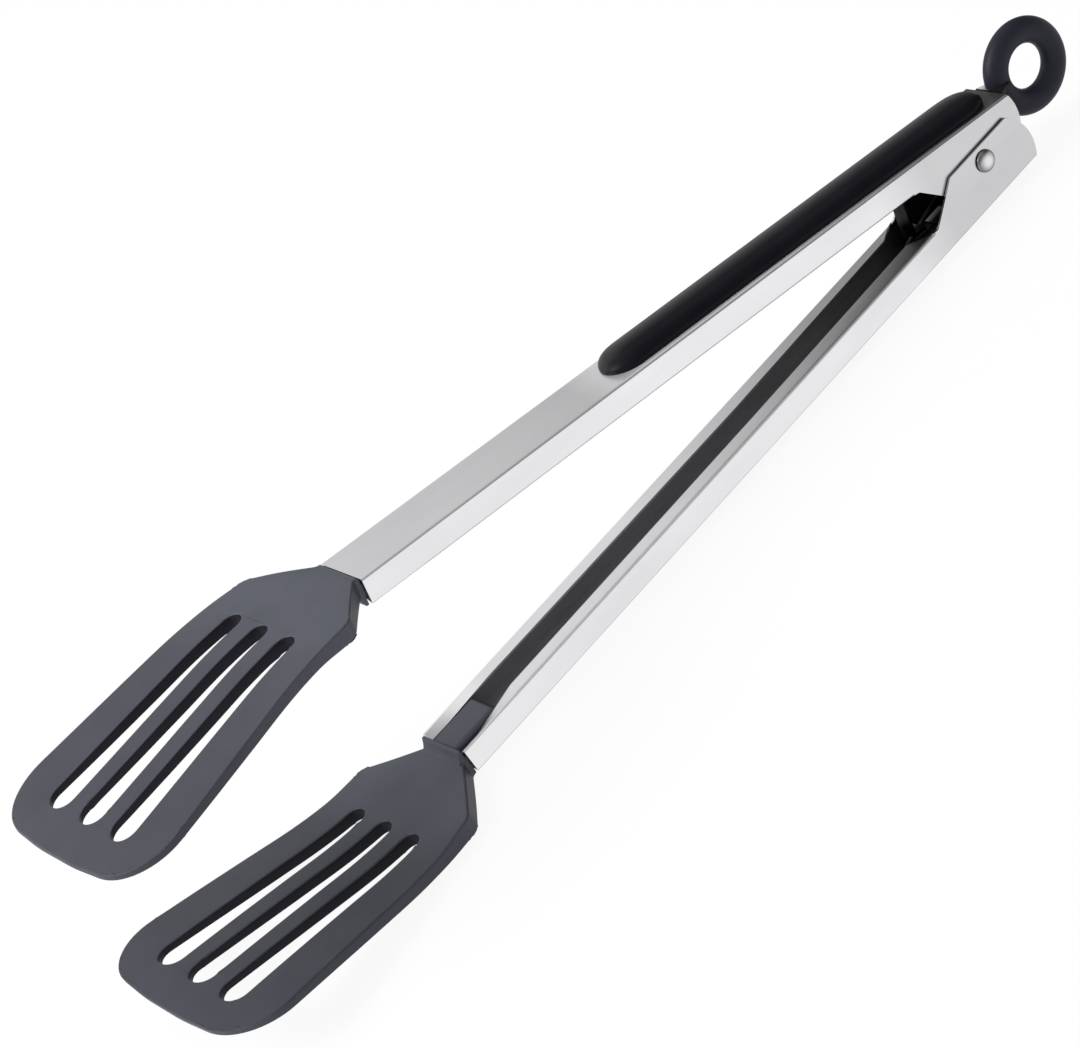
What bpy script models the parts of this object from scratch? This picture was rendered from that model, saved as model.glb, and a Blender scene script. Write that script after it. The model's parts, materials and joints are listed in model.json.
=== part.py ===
"""Serving tongs with slotted blades, soft grips and a pull-ring lock.

Each arm is a pressed steel channel. It is drawn in its own frame: the pivot is the
origin, +X runs to the head, +Z runs to the arm's own back. The lower arm lies on its
back and the upper arm stands open above it. Lengths are in metres.
"""
import math

import bmesh
import bpy
from mathutils import Vector

# Arms
ARM_REACH = 0.198
BACK_HEIGHT = 0.01068
SHEET = 0.0006
HINGE_WALL = 0.00711
HEAD_WALL = 0.0070
HINGE_HALF_WIDTH = 0.0086
HEAD_HALF_WIDTH = 0.00869
HINGE_PLAY = 0.0005
BEND_RADIUS = 0.0008
OPEN_ANGLE = math.radians(10.82)

# Cheeks, the deep ends of the walls round the pivot
CHEEK_DROP = 0.0042
CHEEK_END = 0.01525
CHEEK_END_RADIUS = 0.0115
CHEEK_END_HEIGHT = 0.0048
CHEEK_FLAT_END = 0.0109
CHEEK_RISE_END = 0.021
CHEEK_FILLET = 0.0015

# Lips, folded in along the walls' free edges
LIP_START = 0.0225
LIP_FULL = 0.0285
LIP_GAP_HALF = 0.0041
LIP_GAP_HEAD_HALF = 0.0047
LIP_TILT = 0.0008
LIP_FLARE_LENGTH = 0.011
LIP_MOUTH_LENGTH = 0.005
LIP_MOUTH_HALF = 0.0059
LIP_MOUTH_SINK = 0.0016

# Running and fitting clearances
CLEARANCE = 0.0003
OVERRUN = 0.004

# Grips
GRIP_REAR = 0.0103
GRIP_FRONT = 0.117
GRIP_HALF_WIDTH = 0.0063
GRIP_RISE = 0.0029
GRIP_EDGE = 0.0011
GRIP_REAR_LENGTH = 0.006
GRIP_FRONT_LENGTH = 0.011
STUD_RADIUS = 0.002
STUD_DEPTH = 0.0012
STUD_SHARES = (0.38, 0.64, 0.90)

# Blades
BLADE_LENGTH = 0.0884
BLADE_CREST = 0.01185
BLADE_FALL = 0.0149
BLADE_THICKNESS = 0.0039
BLADE_SIDE_SHARES = (
    (0.0, 0.045, 1.26),
    (0.085, 0.0, 1.25),
    (0.175, 0.02, 1.10),
    (0.265, 0.06, 0.90),
    (0.38, 0.165, 0.82),
    (0.525, 0.355, 0.77),
    (0.695, 0.59, 0.66),
    (0.865, 0.825, 0.50),
    (1.0, 1.0, 0.34),
)
NECK_HALF_WIDTH = 0.0078
NECK_LENGTH = 0.0012
NECK_FILLET = 0.0015
SHOULDER_HALF_WIDTH = 0.0224
SHOULDER_REACH = 0.0125
SHOULDER_RADIUS = 0.0022
HEEL_HALF_WIDTH = 0.0331
HEEL_RADIUS = 0.014
TIP_FLAT_HALF_WIDTH = 0.008
TIP_SLOPE_SHARE = 0.083

# Slots, fanned through each blade
SLOT_START = 0.0215
SLOT_TIP_MARGIN = 0.0089
SLOT_NARROW_RADIUS = 0.0026
SLOT_WIDE_RADIUS = 0.0040
SLOT_NEAR_SPREAD = 0.0114
SLOT_FAR_SPREAD = 0.0138

# Neck and tongue, which hold a blade in its arm
JOINT_LINE = 0.0006
NECK_FOOT_LENGTH = 0.0008
NECK_RAMP_LENGTH = 0.0030
TONGUE_CORE_LENGTH = 0.026
TONGUE_CORE_DEPTH = 0.0024
TONGUE_LENGTH = 0.0160
TONGUE_HALF_WIDTH = 0.0037
TONGUE_SINK = 0.0007

# Rivet
SHANK_RADIUS = 0.002
RIVET_HEAD_RADIUS = 0.00304
RIVET_HEAD_HEIGHT = 0.0011

# Lock slide and the catch that its toe hooks under
STRAP_HALF_WIDTH = 0.0057
STRAP_THICKNESS = 0.001
SLIDE_SHEET = 0.0008
TAB_STEP_LENGTH = 0.0008
TAB_ROOT_HALF_WIDTH = 0.0052
TAB_END_HALF_WIDTH = 0.0026
TAB_LENGTH = 0.0197
LOCK_TRAVEL = 0.005
GUIDE_HALF_WIDTH = 0.0061
GUIDE_DROP = 0.0034
GUIDE_MARGIN = 0.0032
FINGER_FRONT = 0.0230
FINGER_HALF_WIDTH = 0.0024
FINGER_DROP = 0.00891
TOE_LENGTH = 0.0033
CATCH_REAR = 0.0112
CATCH_LENGTH = 0.0057
CATCH_HEIGHT = 0.0065

# Opening spring
WIRE_RADIUS = 0.00065
COIL_GAP_HALF = 0.0042
COIL_FULL_TURNS = 4
COIL_POINTS = 10
UPPER_LEG_REACH = 0.020
LOWER_LEG_REACH = 0.024

# Pull ring
RING_RADIUS = 0.00918
RING_TUBE_RADIUS = 0.0035
RING_HALF_DEPTH = 0.0030
RING_REACH = 0.02766
RING_HEIGHT = 0.00987

# Fineness of round shapes
ROUND_STEPS = 28
FILLET_STEPS = 5
SIDE_STEPS = 26
RING_STEPS = 36
TUBE_STEPS = 14

# Sizes that follow from the ones above
NECK_START = ARM_REACH + JOINT_LINE
TIP_REACH = NECK_START + BLADE_LENGTH
INNER_HINGE_HALF_WIDTH = HINGE_HALF_WIDTH - SHEET - HINGE_PLAY
BACK_INSIDE = BACK_HEIGHT - SHEET
CHEEK_CENTRE = CHEEK_END_RADIUS - CHEEK_END
BACK_REAR = CHEEK_CENTRE - math.sqrt(CHEEK_END_RADIUS ** 2 - (BACK_HEIGHT - CHEEK_END_HEIGHT) ** 2)
RING_OUTER_RADIUS = RING_RADIUS + RING_TUBE_RADIUS
RING_REAR = (
    math.cos(OPEN_ANGLE) * RING_REACH
    + math.sin(OPEN_ANGLE) * RING_HEIGHT
    + RING_OUTER_RADIUS
)
PIVOT = Vector(((RING_REAR - TIP_REACH) / 2, 0, BACK_HEIGHT + GRIP_RISE))


def clear_scene():
    for item in list(bpy.data.objects):
        bpy.data.objects.remove(item, do_unlink=True)


def make_material(name, colour, roughness, metallic):
    material = bpy.data.materials.new(name)
    material.use_nodes = True
    shader = material.node_tree.nodes["Principled BSDF"]
    shader.inputs["Base Color"].default_value = (*colour, 1)
    shader.inputs["Roughness"].default_value = roughness
    shader.inputs["Metallic"].default_value = metallic
    return material


def add_frame(name, tilt):
    """An empty on the pivot that carries one arm and what is fixed to it."""
    frame = bpy.data.objects.new(name, None)
    frame.location = PIVOT
    frame.rotation_euler = tilt
    bpy.context.collection.objects.link(frame)
    return frame


def add_object(name, bm, parent, material=None):
    mesh = bpy.data.meshes.new(name)
    bm.to_mesh(mesh)
    bm.free()
    item = bpy.data.objects.new(name, mesh)
    bpy.context.collection.objects.link(item)
    item.parent = parent
    if material:
        mesh.materials.append(material)
    return item


def smooth(item, angle):
    item.data.shade_smooth()
    item.data.set_sharp_from_angle(angle=angle)


def use_tool(target, bm, operation):
    """Cut a shape out of target, or weld it on; the shape stays as a hidden tool."""
    tool = add_object(target.name + "_tool", bm, target.parent)
    tool.hide_render = True
    tool.display_type = "WIRE"
    modifier = target.modifiers.new(operation.lower(), "BOOLEAN")
    modifier.operation = operation
    modifier.solver = "EXACT"
    modifier.object = tool


def fillet(points, radii):
    """Round the corners of an open outline; a radius of zero keeps the corner."""
    result = []
    for index, (point, radius) in enumerate(zip(points, radii)):
        corner = Vector(point)
        if not radius:
            result.append(corner)
            continue
        before = (Vector(points[index - 1]) - corner).normalized()
        after = (Vector(points[index + 1]) - corner).normalized()
        half = before.angle(after) / 2
        start = corner + before * radius / math.tan(half)
        end = corner + after * radius / math.tan(half)
        centre = corner + (before + after).normalized() * radius / math.sin(half)
        first = start - centre
        sweep = first.angle_signed(end - centre)
        for step in range(FILLET_STEPS + 1):
            turn = -sweep * step / FILLET_STEPS
            c, s = math.cos(turn), math.sin(turn)
            result.append(centre + Vector((c * first.x - s * first.y, s * first.x + c * first.y)))
    return result


def prism(outline, low, high, axis):
    """A closed solid whose outline lies across one axis and runs from low to high."""
    bm = bmesh.new()
    place = {
        "Y": lambda point, depth: (point[0], depth, point[1]),
        "Z": lambda point, depth: (point[0], point[1], depth),
    }[axis]
    rings = [[bm.verts.new(place(point, depth)) for point in outline] for depth in (low, high)]
    for ring in rings:
        bm.faces.new(ring)
    bmesh.ops.bridge_loops(bm, edges=[edge for edge in bm.edges])
    bmesh.ops.recalc_face_normals(bm, faces=bm.faces)
    return bm


def box(low, high):
    outline = ((low[0], low[2]), (high[0], low[2]), (high[0], high[2]), (low[0], high[2]))
    return prism(outline, low[1], high[1], "Y")


def turned(profile, centre=(0, 0)):
    """A solid turned about an axis along Y, from (radius, y) points."""
    bm = bmesh.new()
    rings = []
    for radius, y in profile:
        ring = []
        for step in range(ROUND_STEPS):
            angle = 2 * math.pi * step / ROUND_STEPS
            x = centre[0] + radius * math.cos(angle)
            z = centre[1] + radius * math.sin(angle)
            ring.append(bm.verts.new((x, y, z)))
        rings.append(ring)
    skin(bm, rings)
    return bm


def skin(bm, rings):
    """Faces between neighbouring rings of points, and a cap on both ends."""
    for lower, upper in zip(rings, rings[1:]):
        for index in range(len(lower)):
            after = (index + 1) % len(lower)
            bm.faces.new((lower[index], lower[after], upper[after], upper[index]))
    bm.faces.new(rings[0])
    bm.faces.new(rings[-1])
    bmesh.ops.recalc_face_normals(bm, faces=bm.faces)


def wall_edge(x):
    """Height of a wall's free edge above the pivot, towards the arm's back."""
    return BACK_HEIGHT - HINGE_WALL + (HINGE_WALL - HEAD_WALL) * x / ARM_REACH


def cheek_outline():
    """The cheek's edge from the back's hinge end round to the lips' start."""
    centre = Vector((CHEEK_CENTRE, CHEEK_END_HEIGHT))
    start = math.pi - math.asin((BACK_HEIGHT - centre.y) / CHEEK_END_RADIUS)
    end = math.pi + math.asin((CHEEK_DROP + centre.y) / CHEEK_END_RADIUS)
    steps = 2 * FILLET_STEPS
    points = []
    for step in range(steps + 1):
        angle = start + (end - start) * step / steps
        points.append(centre + CHEEK_END_RADIUS * Vector((math.cos(angle), math.sin(angle))))
    rise = (
        points[-1],
        (CHEEK_FLAT_END, -CHEEK_DROP),
        (CHEEK_RISE_END, wall_edge(CHEEK_RISE_END)),
        (LIP_START, wall_edge(LIP_START)),
    )
    return points[:-1] + fillet(rise, (0, CHEEK_FILLET, CHEEK_FILLET, 0))


def arm_sheet(hinge_half_width):
    """The outer face of a pressed arm: back, two walls with cheeks, two lips."""
    def half_width(x):
        return hinge_half_width + (HEAD_HALF_WIDTH - hinge_half_width) * x / ARM_REACH

    mouth = ARM_REACH - LIP_MOUTH_LENGTH
    stations = (
        (LIP_START, None, 0),
        (LIP_FULL, LIP_GAP_HALF, LIP_TILT),
        (mouth - LIP_FLARE_LENGTH, LIP_GAP_HEAD_HALF, LIP_TILT),
        (mouth, LIP_MOUTH_HALF, -LIP_MOUTH_SINK),
        (ARM_REACH, LIP_MOUTH_HALF, -LIP_MOUTH_SINK),
    )
    outline = cheek_outline()
    bm = bmesh.new()
    tops = {}
    for side in (1, -1):
        cheek = [bm.verts.new((x, side * half_width(x), z)) for x, z in outline]
        top = [cheek[0]]
        edge = [cheek[-1]]
        lip = [None]
        for x, gap, tilt in stations:
            y = side * half_width(x)
            top.append(bm.verts.new((x, y, BACK_HEIGHT)))
            if gap:
                edge.append(bm.verts.new((x, y, wall_edge(x))))
                lip.append(bm.verts.new((x, side * gap, wall_edge(x) - tilt)))
        bm.faces.new([top[1]] + cheek)
        bm.faces.new((edge[0], edge[1], lip[1]))
        for index in range(1, len(edge)):
            bm.faces.new((top[index], top[index + 1], edge[index], edge[index - 1]))
        for index in range(1, len(edge) - 1):
            bm.faces.new((edge[index], edge[index + 1], lip[index + 1], lip[index]))
        tops[side] = top
    for index in range(len(tops[1]) - 1):
        near, far = tops[1], tops[-1]
        bm.faces.new((near[index], near[index + 1], far[index + 1], far[index]))
    bmesh.ops.recalc_face_normals(bm, faces=bm.faces)
    bm.faces.ensure_lookup_table()
    if bm.faces[-1].normal.z < 0:
        bmesh.ops.reverse_faces(bm, faces=bm.faces)
    return bm


def stud_places():
    return [share * GRIP_FRONT for share in STUD_SHARES]


def upright(x, radius, low, high):
    """An upright cylinder on the arm's middle line."""
    points = []
    for step in range(ROUND_STEPS // 2):
        angle = 4 * math.pi * step / ROUND_STEPS
        points.append((x + radius * math.cos(angle), radius * math.sin(angle)))
    return prism(points, low, high, "Z")


def make_arm(name, hinge_half_width, frame, material):
    arm = add_object(name, arm_sheet(hinge_half_width), frame, material)
    bend = arm.modifiers.new("bends", "BEVEL")
    bend.limit_method = "ANGLE"
    bend.angle_limit = math.radians(40)
    bend.width = BEND_RADIUS
    bend.segments = 3
    thickness = arm.modifiers.new("sheet", "SOLIDIFY")
    thickness.thickness = SHEET
    thickness.offset = -1
    thickness.use_even_offset = True
    bore = SHANK_RADIUS + CLEARANCE
    reach = HEAD_HALF_WIDTH + OVERRUN
    use_tool(arm, turned(((bore, -reach), (bore, reach))), "DIFFERENCE")
    for x in stud_places():
        hole = upright(x, STUD_RADIUS + CLEARANCE, BACK_INSIDE - OVERRUN, BACK_HEIGHT + OVERRUN)
        use_tool(arm, hole, "DIFFERENCE")
    return arm


def add_catch(arm):
    """The hook inside the lower arm's back that the slide's toe reaches under."""
    root = BACK_HEIGHT - SHEET / 2
    front = CATCH_REAR + CATCH_LENGTH
    outline = (
        (CATCH_REAR, root),
        (CATCH_REAR + SLIDE_SHEET, root),
        (CATCH_REAR + SLIDE_SHEET, CATCH_HEIGHT + SLIDE_SHEET),
        (front, CATCH_HEIGHT + SLIDE_SHEET),
        (front, CATCH_HEIGHT),
        (CATCH_REAR, CATCH_HEIGHT),
    )
    use_tool(arm, prism(outline, -FINGER_HALF_WIDTH, FINGER_HALF_WIDTH, "Y"), "UNION")


def grip_ring(bm, inset, z):
    """One level of a grip: straight sides, a short round rear and a long round front."""
    width = GRIP_HALF_WIDTH - inset
    ends = (
        (GRIP_FRONT - GRIP_FRONT_LENGTH, GRIP_FRONT_LENGTH - inset, -math.pi / 2),
        (GRIP_REAR_LENGTH - GRIP_REAR, GRIP_REAR_LENGTH - inset, math.pi / 2),
    )
    steps = 2 * FILLET_STEPS
    ring = []
    for centre, length, start in ends:
        for step in range(steps + 1):
            angle = start + math.pi * step / steps
            place = (centre + length * math.cos(angle), width * math.sin(angle), z)
            ring.append(bm.verts.new(place))
    return ring


def make_grip(name, frame, material):
    bm = bmesh.new()
    crown = BACK_HEIGHT + GRIP_RISE
    rings = [grip_ring(bm, 0, BACK_HEIGHT + CLEARANCE)]
    for step in range(FILLET_STEPS):
        angle = math.pi / 2 * step / (FILLET_STEPS - 1)
        inset = GRIP_EDGE * (1 - math.cos(angle))
        rings.append(grip_ring(bm, inset, crown - GRIP_EDGE * (1 - math.sin(angle))))
    skin(bm, rings)
    grip = add_object(name, bm, frame, material)
    smooth(grip, math.radians(35))
    for x in stud_places():
        stud = upright(x, STUD_RADIUS, BACK_INSIDE - STUD_DEPTH, crown - GRIP_EDGE)
        use_tool(grip, stud, "UNION")


def curve_through(points, count):
    """Evenly stepped points of a smooth curve through the given ones."""
    ends = [points[0] * 2 - points[1]] + points + [points[-1] * 2 - points[-2]]
    result = []
    for step in range(count + 1):
        place = step / count * (len(points) - 1)
        index = min(int(place), len(points) - 2)
        t = place - index
        a, b, c, d = ends[index:index + 4]
        curve = b * 2 + (c - a) * t
        curve += (a * 2 - b * 5 + c * 4 - d) * t ** 2
        curve += (b * 3 - a - c * 3 + d) * t ** 3
        result.append(curve / 2)
    return result


def blade_side():
    """Outer and inner face of a blade, seen from its side."""
    outer, inner = [], []
    for x_share, fall_share, thickness_share in BLADE_SIDE_SHARES:
        x = NECK_START + BLADE_LENGTH * x_share
        z = BLADE_CREST - BLADE_FALL * fall_share
        outer.append(Vector((x, z)))
        inner.append(Vector((x, z - BLADE_THICKNESS * thickness_share)))
    return curve_through(outer, SIDE_STEPS), curve_through(inner, SIDE_STEPS)


def blade_plan():
    """Half of a blade's outline, seen from its back, and the mirrored other half."""
    heel = TIP_REACH - TIP_SLOPE_SHARE * (HEEL_HALF_WIDTH - TIP_FLAT_HALF_WIDTH)
    points = (
        (NECK_START, NECK_HALF_WIDTH),
        (NECK_START + NECK_LENGTH, NECK_HALF_WIDTH),
        (NECK_START + SHOULDER_REACH, SHOULDER_HALF_WIDTH),
        (heel, HEEL_HALF_WIDTH),
        (TIP_REACH, TIP_FLAT_HALF_WIDTH),
    )
    half = fillet(points, (0, NECK_FILLET, SHOULDER_RADIUS, HEEL_RADIUS, 0))
    return half + [Vector((point.x, -point.y)) for point in reversed(half)]


def slot_plan(near_y, far_y):
    """A slot's outline: two round ends, joined by straight sides."""
    near = Vector((NECK_START + SLOT_START + SLOT_NARROW_RADIUS, near_y))
    far = Vector((TIP_REACH - SLOT_TIP_MARGIN - SLOT_WIDE_RADIUS, far_y))
    line = far - near
    heading = math.atan2(line.y, line.x)
    lean = math.asin((SLOT_WIDE_RADIUS - SLOT_NARROW_RADIUS) / line.length)
    ends = (
        (far, SLOT_WIDE_RADIUS, heading - math.pi / 2 - lean, math.pi + 2 * lean),
        (near, SLOT_NARROW_RADIUS, heading + math.pi / 2 + lean, math.pi - 2 * lean),
    )
    steps = 2 * FILLET_STEPS
    points = []
    for centre, radius, start, sweep in ends:
        for step in range(steps + 1):
            angle = start + sweep * step / steps
            points.append(centre + radius * Vector((math.cos(angle), math.sin(angle))))
    return points


def neck_side():
    """The neck block behind a blade: a foot, then a hollow ramp up to the blade."""
    foot = wall_edge(ARM_REACH)
    _, fall_share, thickness_share = BLADE_SIDE_SHARES[1]
    landing = BLADE_CREST - BLADE_FALL * fall_share - BLADE_THICKNESS * thickness_share
    start = Vector((NECK_START + NECK_FOOT_LENGTH, foot))
    end = Vector((NECK_START + NECK_FOOT_LENGTH + NECK_RAMP_LENGTH, landing + SHEET))
    bend = Vector((start.x + NECK_RAMP_LENGTH / 3, landing))
    ramp = []
    for step in range(FILLET_STEPS + 1):
        t = step / FILLET_STEPS
        ramp.append(start * (1 - t) ** 2 + bend * 2 * t * (1 - t) + end * t ** 2)
    top = BLADE_CREST - BLADE_THICKNESS / 2
    return [Vector((NECK_START, top)), Vector((NECK_START, foot))] + ramp + [Vector((end.x, top))]


def make_blade(name, frame, material):
    outer, inner = blade_side()
    reach = HEEL_HALF_WIDTH + OVERRUN
    blade = add_object(name, prism(outer + inner[::-1], -reach, reach, "Y"), frame, material)
    low = BLADE_CREST - BLADE_FALL - BLADE_THICKNESS - OVERRUN
    high = BLADE_CREST + OVERRUN
    use_tool(blade, prism(blade_plan(), low, high, "Z"), "INTERSECT")
    for side in (-1, 0, 1):
        slot = slot_plan(side * SLOT_NEAR_SPREAD, side * SLOT_FAR_SPREAD)
        use_tool(blade, prism(slot, low, high, "Z"), "DIFFERENCE")
    neck_width = NECK_HALF_WIDTH - CLEARANCE
    use_tool(blade, prism(neck_side(), -neck_width, neck_width, "Y"), "UNION")
    seat = BACK_INSIDE - CLEARANCE
    core_width = HEAD_HALF_WIDTH - SHEET - 2 * CLEARANCE
    overlap = NECK_START + NECK_FOOT_LENGTH / 2
    core_low = (ARM_REACH - TONGUE_CORE_LENGTH, -core_width, seat - TONGUE_CORE_DEPTH)
    use_tool(blade, box(core_low, (overlap, core_width, seat)), "UNION")
    tongue_low = (
        ARM_REACH - TONGUE_LENGTH,
        -TONGUE_HALF_WIDTH,
        wall_edge(ARM_REACH) + TONGUE_SINK,
    )
    tongue_high = (overlap, TONGUE_HALF_WIDTH, seat - TONGUE_CORE_DEPTH / 2)
    use_tool(blade, box(tongue_low, tongue_high), "UNION")


def make_rivet(frame, material):
    cheek = HINGE_HALF_WIDTH + CLEARANCE
    head = []
    for step in range(FILLET_STEPS):
        angle = math.pi / 2 * step / FILLET_STEPS
        radius = RIVET_HEAD_RADIUS * math.cos(angle)
        head.append((radius, cheek + RIVET_HEAD_HEIGHT * math.sin(angle)))
    crown = (RIVET_HEAD_RADIUS / (2 * FILLET_STEPS), cheek + RIVET_HEAD_HEIGHT)
    half = [(SHANK_RADIUS, cheek)] + head + [crown]
    profile = [(radius, -y) for radius, y in reversed(half)] + half
    rivet = add_object("pivot_rivet", turned(profile), frame, material)
    smooth(rivet, math.radians(35))


def slide_plan():
    """The slide's outline from above, narrowing to the tab that the ring is set on."""
    half = [
        Vector((FINGER_FRONT - SLIDE_SHEET / 2, STRAP_HALF_WIDTH)),
        Vector((-SHANK_RADIUS - GUIDE_MARGIN, STRAP_HALF_WIDTH)),
        Vector((BACK_REAR, TAB_ROOT_HALF_WIDTH)),
        Vector((-TAB_LENGTH, TAB_END_HALF_WIDTH)),
    ]
    return half + [Vector((point.x, -point.y)) for point in reversed(half)]


def slide_side():
    """The slide from its side: a strap under the back that steps up to the tab."""
    strap = BACK_INSIDE - CLEARANCE
    tab = RING_HEIGHT + STRAP_THICKNESS / 2
    step = BACK_REAR - CLEARANCE
    upper = [
        Vector((FINGER_FRONT, strap)),
        Vector((step, strap)),
        Vector((step - TAB_STEP_LENGTH, tab)),
        Vector((-TAB_LENGTH - OVERRUN, tab)),
    ]
    drop = Vector((-STRAP_THICKNESS / 2, -STRAP_THICKNESS))
    return upper + [point + drop for point in reversed(upper)]


def guide_slot():
    """The slot that lets the slide run along the rivet."""
    radius = SHANK_RADIUS + CLEARANCE
    points = []
    for centre, start in ((LOCK_TRAVEL, -math.pi / 2), (0, math.pi / 2)):
        for step in range(2 * FILLET_STEPS + 1):
            angle = start + math.pi * step / (2 * FILLET_STEPS)
            points.append((centre + radius * math.cos(angle), radius * math.sin(angle)))
    return points


def make_slide(frame, material):
    middle = BACK_INSIDE - CLEARANCE - STRAP_THICKNESS / 2
    slide = add_object("lock_slide", prism(slide_plan(), 0, 2 * middle, "Z"), frame, material)
    reach = HINGE_HALF_WIDTH
    use_tool(slide, prism(slide_side(), -reach, reach, "Y"), "INTERSECT")
    for side in (-1, 1):
        faces = sorted((side * GUIDE_HALF_WIDTH, side * (GUIDE_HALF_WIDTH - SLIDE_SHEET)))
        low = (-SHANK_RADIUS - GUIDE_MARGIN, faces[0], -GUIDE_DROP)
        high = (LOCK_TRAVEL + SHANK_RADIUS + GUIDE_MARGIN, faces[1], middle)
        use_tool(slide, box(low, high), "UNION")
    use_tool(slide, prism(guide_slot(), -reach, reach, "Y"), "DIFFERENCE")
    toe_tip = FINGER_FRONT - SLIDE_SHEET - TOE_LENGTH
    outline = (
        (FINGER_FRONT, middle),
        (FINGER_FRONT, -FINGER_DROP),
        (toe_tip, -FINGER_DROP),
        (toe_tip, SLIDE_SHEET - FINGER_DROP),
        (FINGER_FRONT - SLIDE_SHEET, SLIDE_SHEET - FINGER_DROP),
        (FINGER_FRONT - SLIDE_SHEET, middle),
    )
    finger = prism(outline, -FINGER_HALF_WIDTH, FINGER_HALF_WIDTH, "Y")
    use_tool(slide, finger, "UNION")


def make_ring(frame, material):
    bm = bmesh.new()
    rings = []
    for step in range(RING_STEPS):
        around = 2 * math.pi * step / RING_STEPS
        ring = []
        for turn in range(TUBE_STEPS):
            angle = 2 * math.pi * turn / TUBE_STEPS
            radius = RING_RADIUS + RING_TUBE_RADIUS * math.cos(angle)
            x = radius * math.cos(around) - RING_REACH
            z = radius * math.sin(around) + RING_HEIGHT
            ring.append(bm.verts.new((x, RING_HALF_DEPTH * math.sin(angle), z)))
        rings.append(ring)
    for index, ring in enumerate(rings):
        following = rings[(index + 1) % RING_STEPS]
        for turn in range(TUBE_STEPS):
            after = (turn + 1) % TUBE_STEPS
            bm.faces.new((ring[turn], ring[after], following[after], following[turn]))
    bmesh.ops.recalc_face_normals(bm, faces=bm.faces)
    ring = add_object("pull_ring", bm, frame, material)
    smooth(ring, math.radians(35))
    reach = RING_HALF_DEPTH + OVERRUN
    half_height = STRAP_THICKNESS / 2 + CLEARANCE
    low = (-TAB_LENGTH - CLEARANCE, -reach, RING_HEIGHT - half_height)
    high = (RING_OUTER_RADIUS - RING_REACH + OVERRUN, reach, RING_HEIGHT + half_height)
    use_tool(ring, box(low, high), "DIFFERENCE")


def leg_touch(end, coil_radius, side):
    """Angle of the point where a leg that ends there leaves the coil."""
    return math.atan2(end.y, end.x) + side * math.acos(coil_radius / end.length)


def spring_route():
    """The wire's middle line: lower leg, coil round the rivet, upper leg."""
    coil_radius = SHANK_RADIUS + 2 * CLEARANCE + WIRE_RADIUS
    seat = BACK_INSIDE - CLEARANCE - WIRE_RADIUS
    lower_end = Vector((LOWER_LEG_REACH, -seat))
    rise = seat - CLEARANCE - STRAP_THICKNESS
    c, s = math.cos(OPEN_ANGLE), math.sin(OPEN_ANGLE)
    upper_end = Vector((UPPER_LEG_REACH * c - rise * s, UPPER_LEG_REACH * s + rise * c))
    start = leg_touch(lower_end, coil_radius, -1)
    end = leg_touch(upper_end, coil_radius, 1) - 2 * math.pi * (COIL_FULL_TURNS + 1)
    count = math.ceil((start - end) / (2 * math.pi) * COIL_POINTS)
    route = [Vector((lower_end.x, -COIL_GAP_HALF, lower_end.y))]
    for step in range(count + 1):
        angle = start + (end - start) * step / count
        y = COIL_GAP_HALF * (2 * step / count - 1)
        route.append(Vector((coil_radius * math.cos(angle), y, coil_radius * math.sin(angle))))
    route.append(Vector((upper_end.x, COIL_GAP_HALF, upper_end.y)))
    return route


def least_gap(route):
    """The least gap from the wire to itself, half a turn or more along."""
    away = COIL_POINTS // 2
    gaps = []
    for index, point in enumerate(route):
        for other in route[index + away:]:
            gaps.append((point - other).length - 2 * WIRE_RADIUS)
    return min(gaps)


def make_spring(frame, material):
    route = spring_route()
    curve = bpy.data.curves.new("opening_spring", "CURVE")
    curve.dimensions = "3D"
    curve.bevel_depth = WIRE_RADIUS
    curve.bevel_resolution = 1
    curve.use_fill_caps = True
    spline = curve.splines.new("POLY")
    spline.points.add(len(route) - 1)
    for point, place in zip(spline.points, route):
        point.co = (*place, 1)
    curve.materials.append(material)
    spring = bpy.data.objects.new("opening_spring", curve)
    bpy.context.collection.objects.link(spring)
    spring.parent = frame
    print("least gap in the spring, mm:", round(least_gap(route) * 1000, 3))


def main():
    clear_scene()
    steel = make_material("brushed steel", (0.62, 0.62, 0.63), 0.28, 1)
    spring_steel = make_material("spring steel", (0.45, 0.45, 0.46), 0.35, 1)
    nylon = make_material("dark grey nylon", (0.106, 0.109, 0.127), 0.5, 0)
    soft = make_material("black soft plastic", (0.012, 0.012, 0.018), 0.45, 0)
    lower = add_frame("lower_arm_frame", (math.pi, 0, 0))
    upper = add_frame("upper_arm_frame", (0, -OPEN_ANGLE, 0))
    pivot = add_frame("pivot_frame", (0, 0, 0))
    lower_arm = make_arm("lower_arm", HINGE_HALF_WIDTH, lower, steel)
    add_catch(lower_arm)
    make_arm("upper_arm", INNER_HINGE_HALF_WIDTH, upper, steel)
    for place, frame in (("lower", lower), ("upper", upper)):
        make_grip(place + "_grip", frame, soft)
        make_blade(place + "_blade", frame, nylon)
    make_rivet(pivot, steel)
    make_spring(pivot, spring_steel)
    make_slide(upper, steel)
    make_ring(upper, soft)


main()
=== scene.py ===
"""Serving tongs: satin steel arms, grey slotted blades, black grips and a pull ring.

Each arm's pieces are drawn in the arm's own frame, with the pivot as origin, +X to the
head and +Z to the arm's back, and are then laid along the lower or the upper arm.
"""
import json
import math

import bmesh
import bpy
from mathutils import Euler, Matrix, Vector


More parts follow.
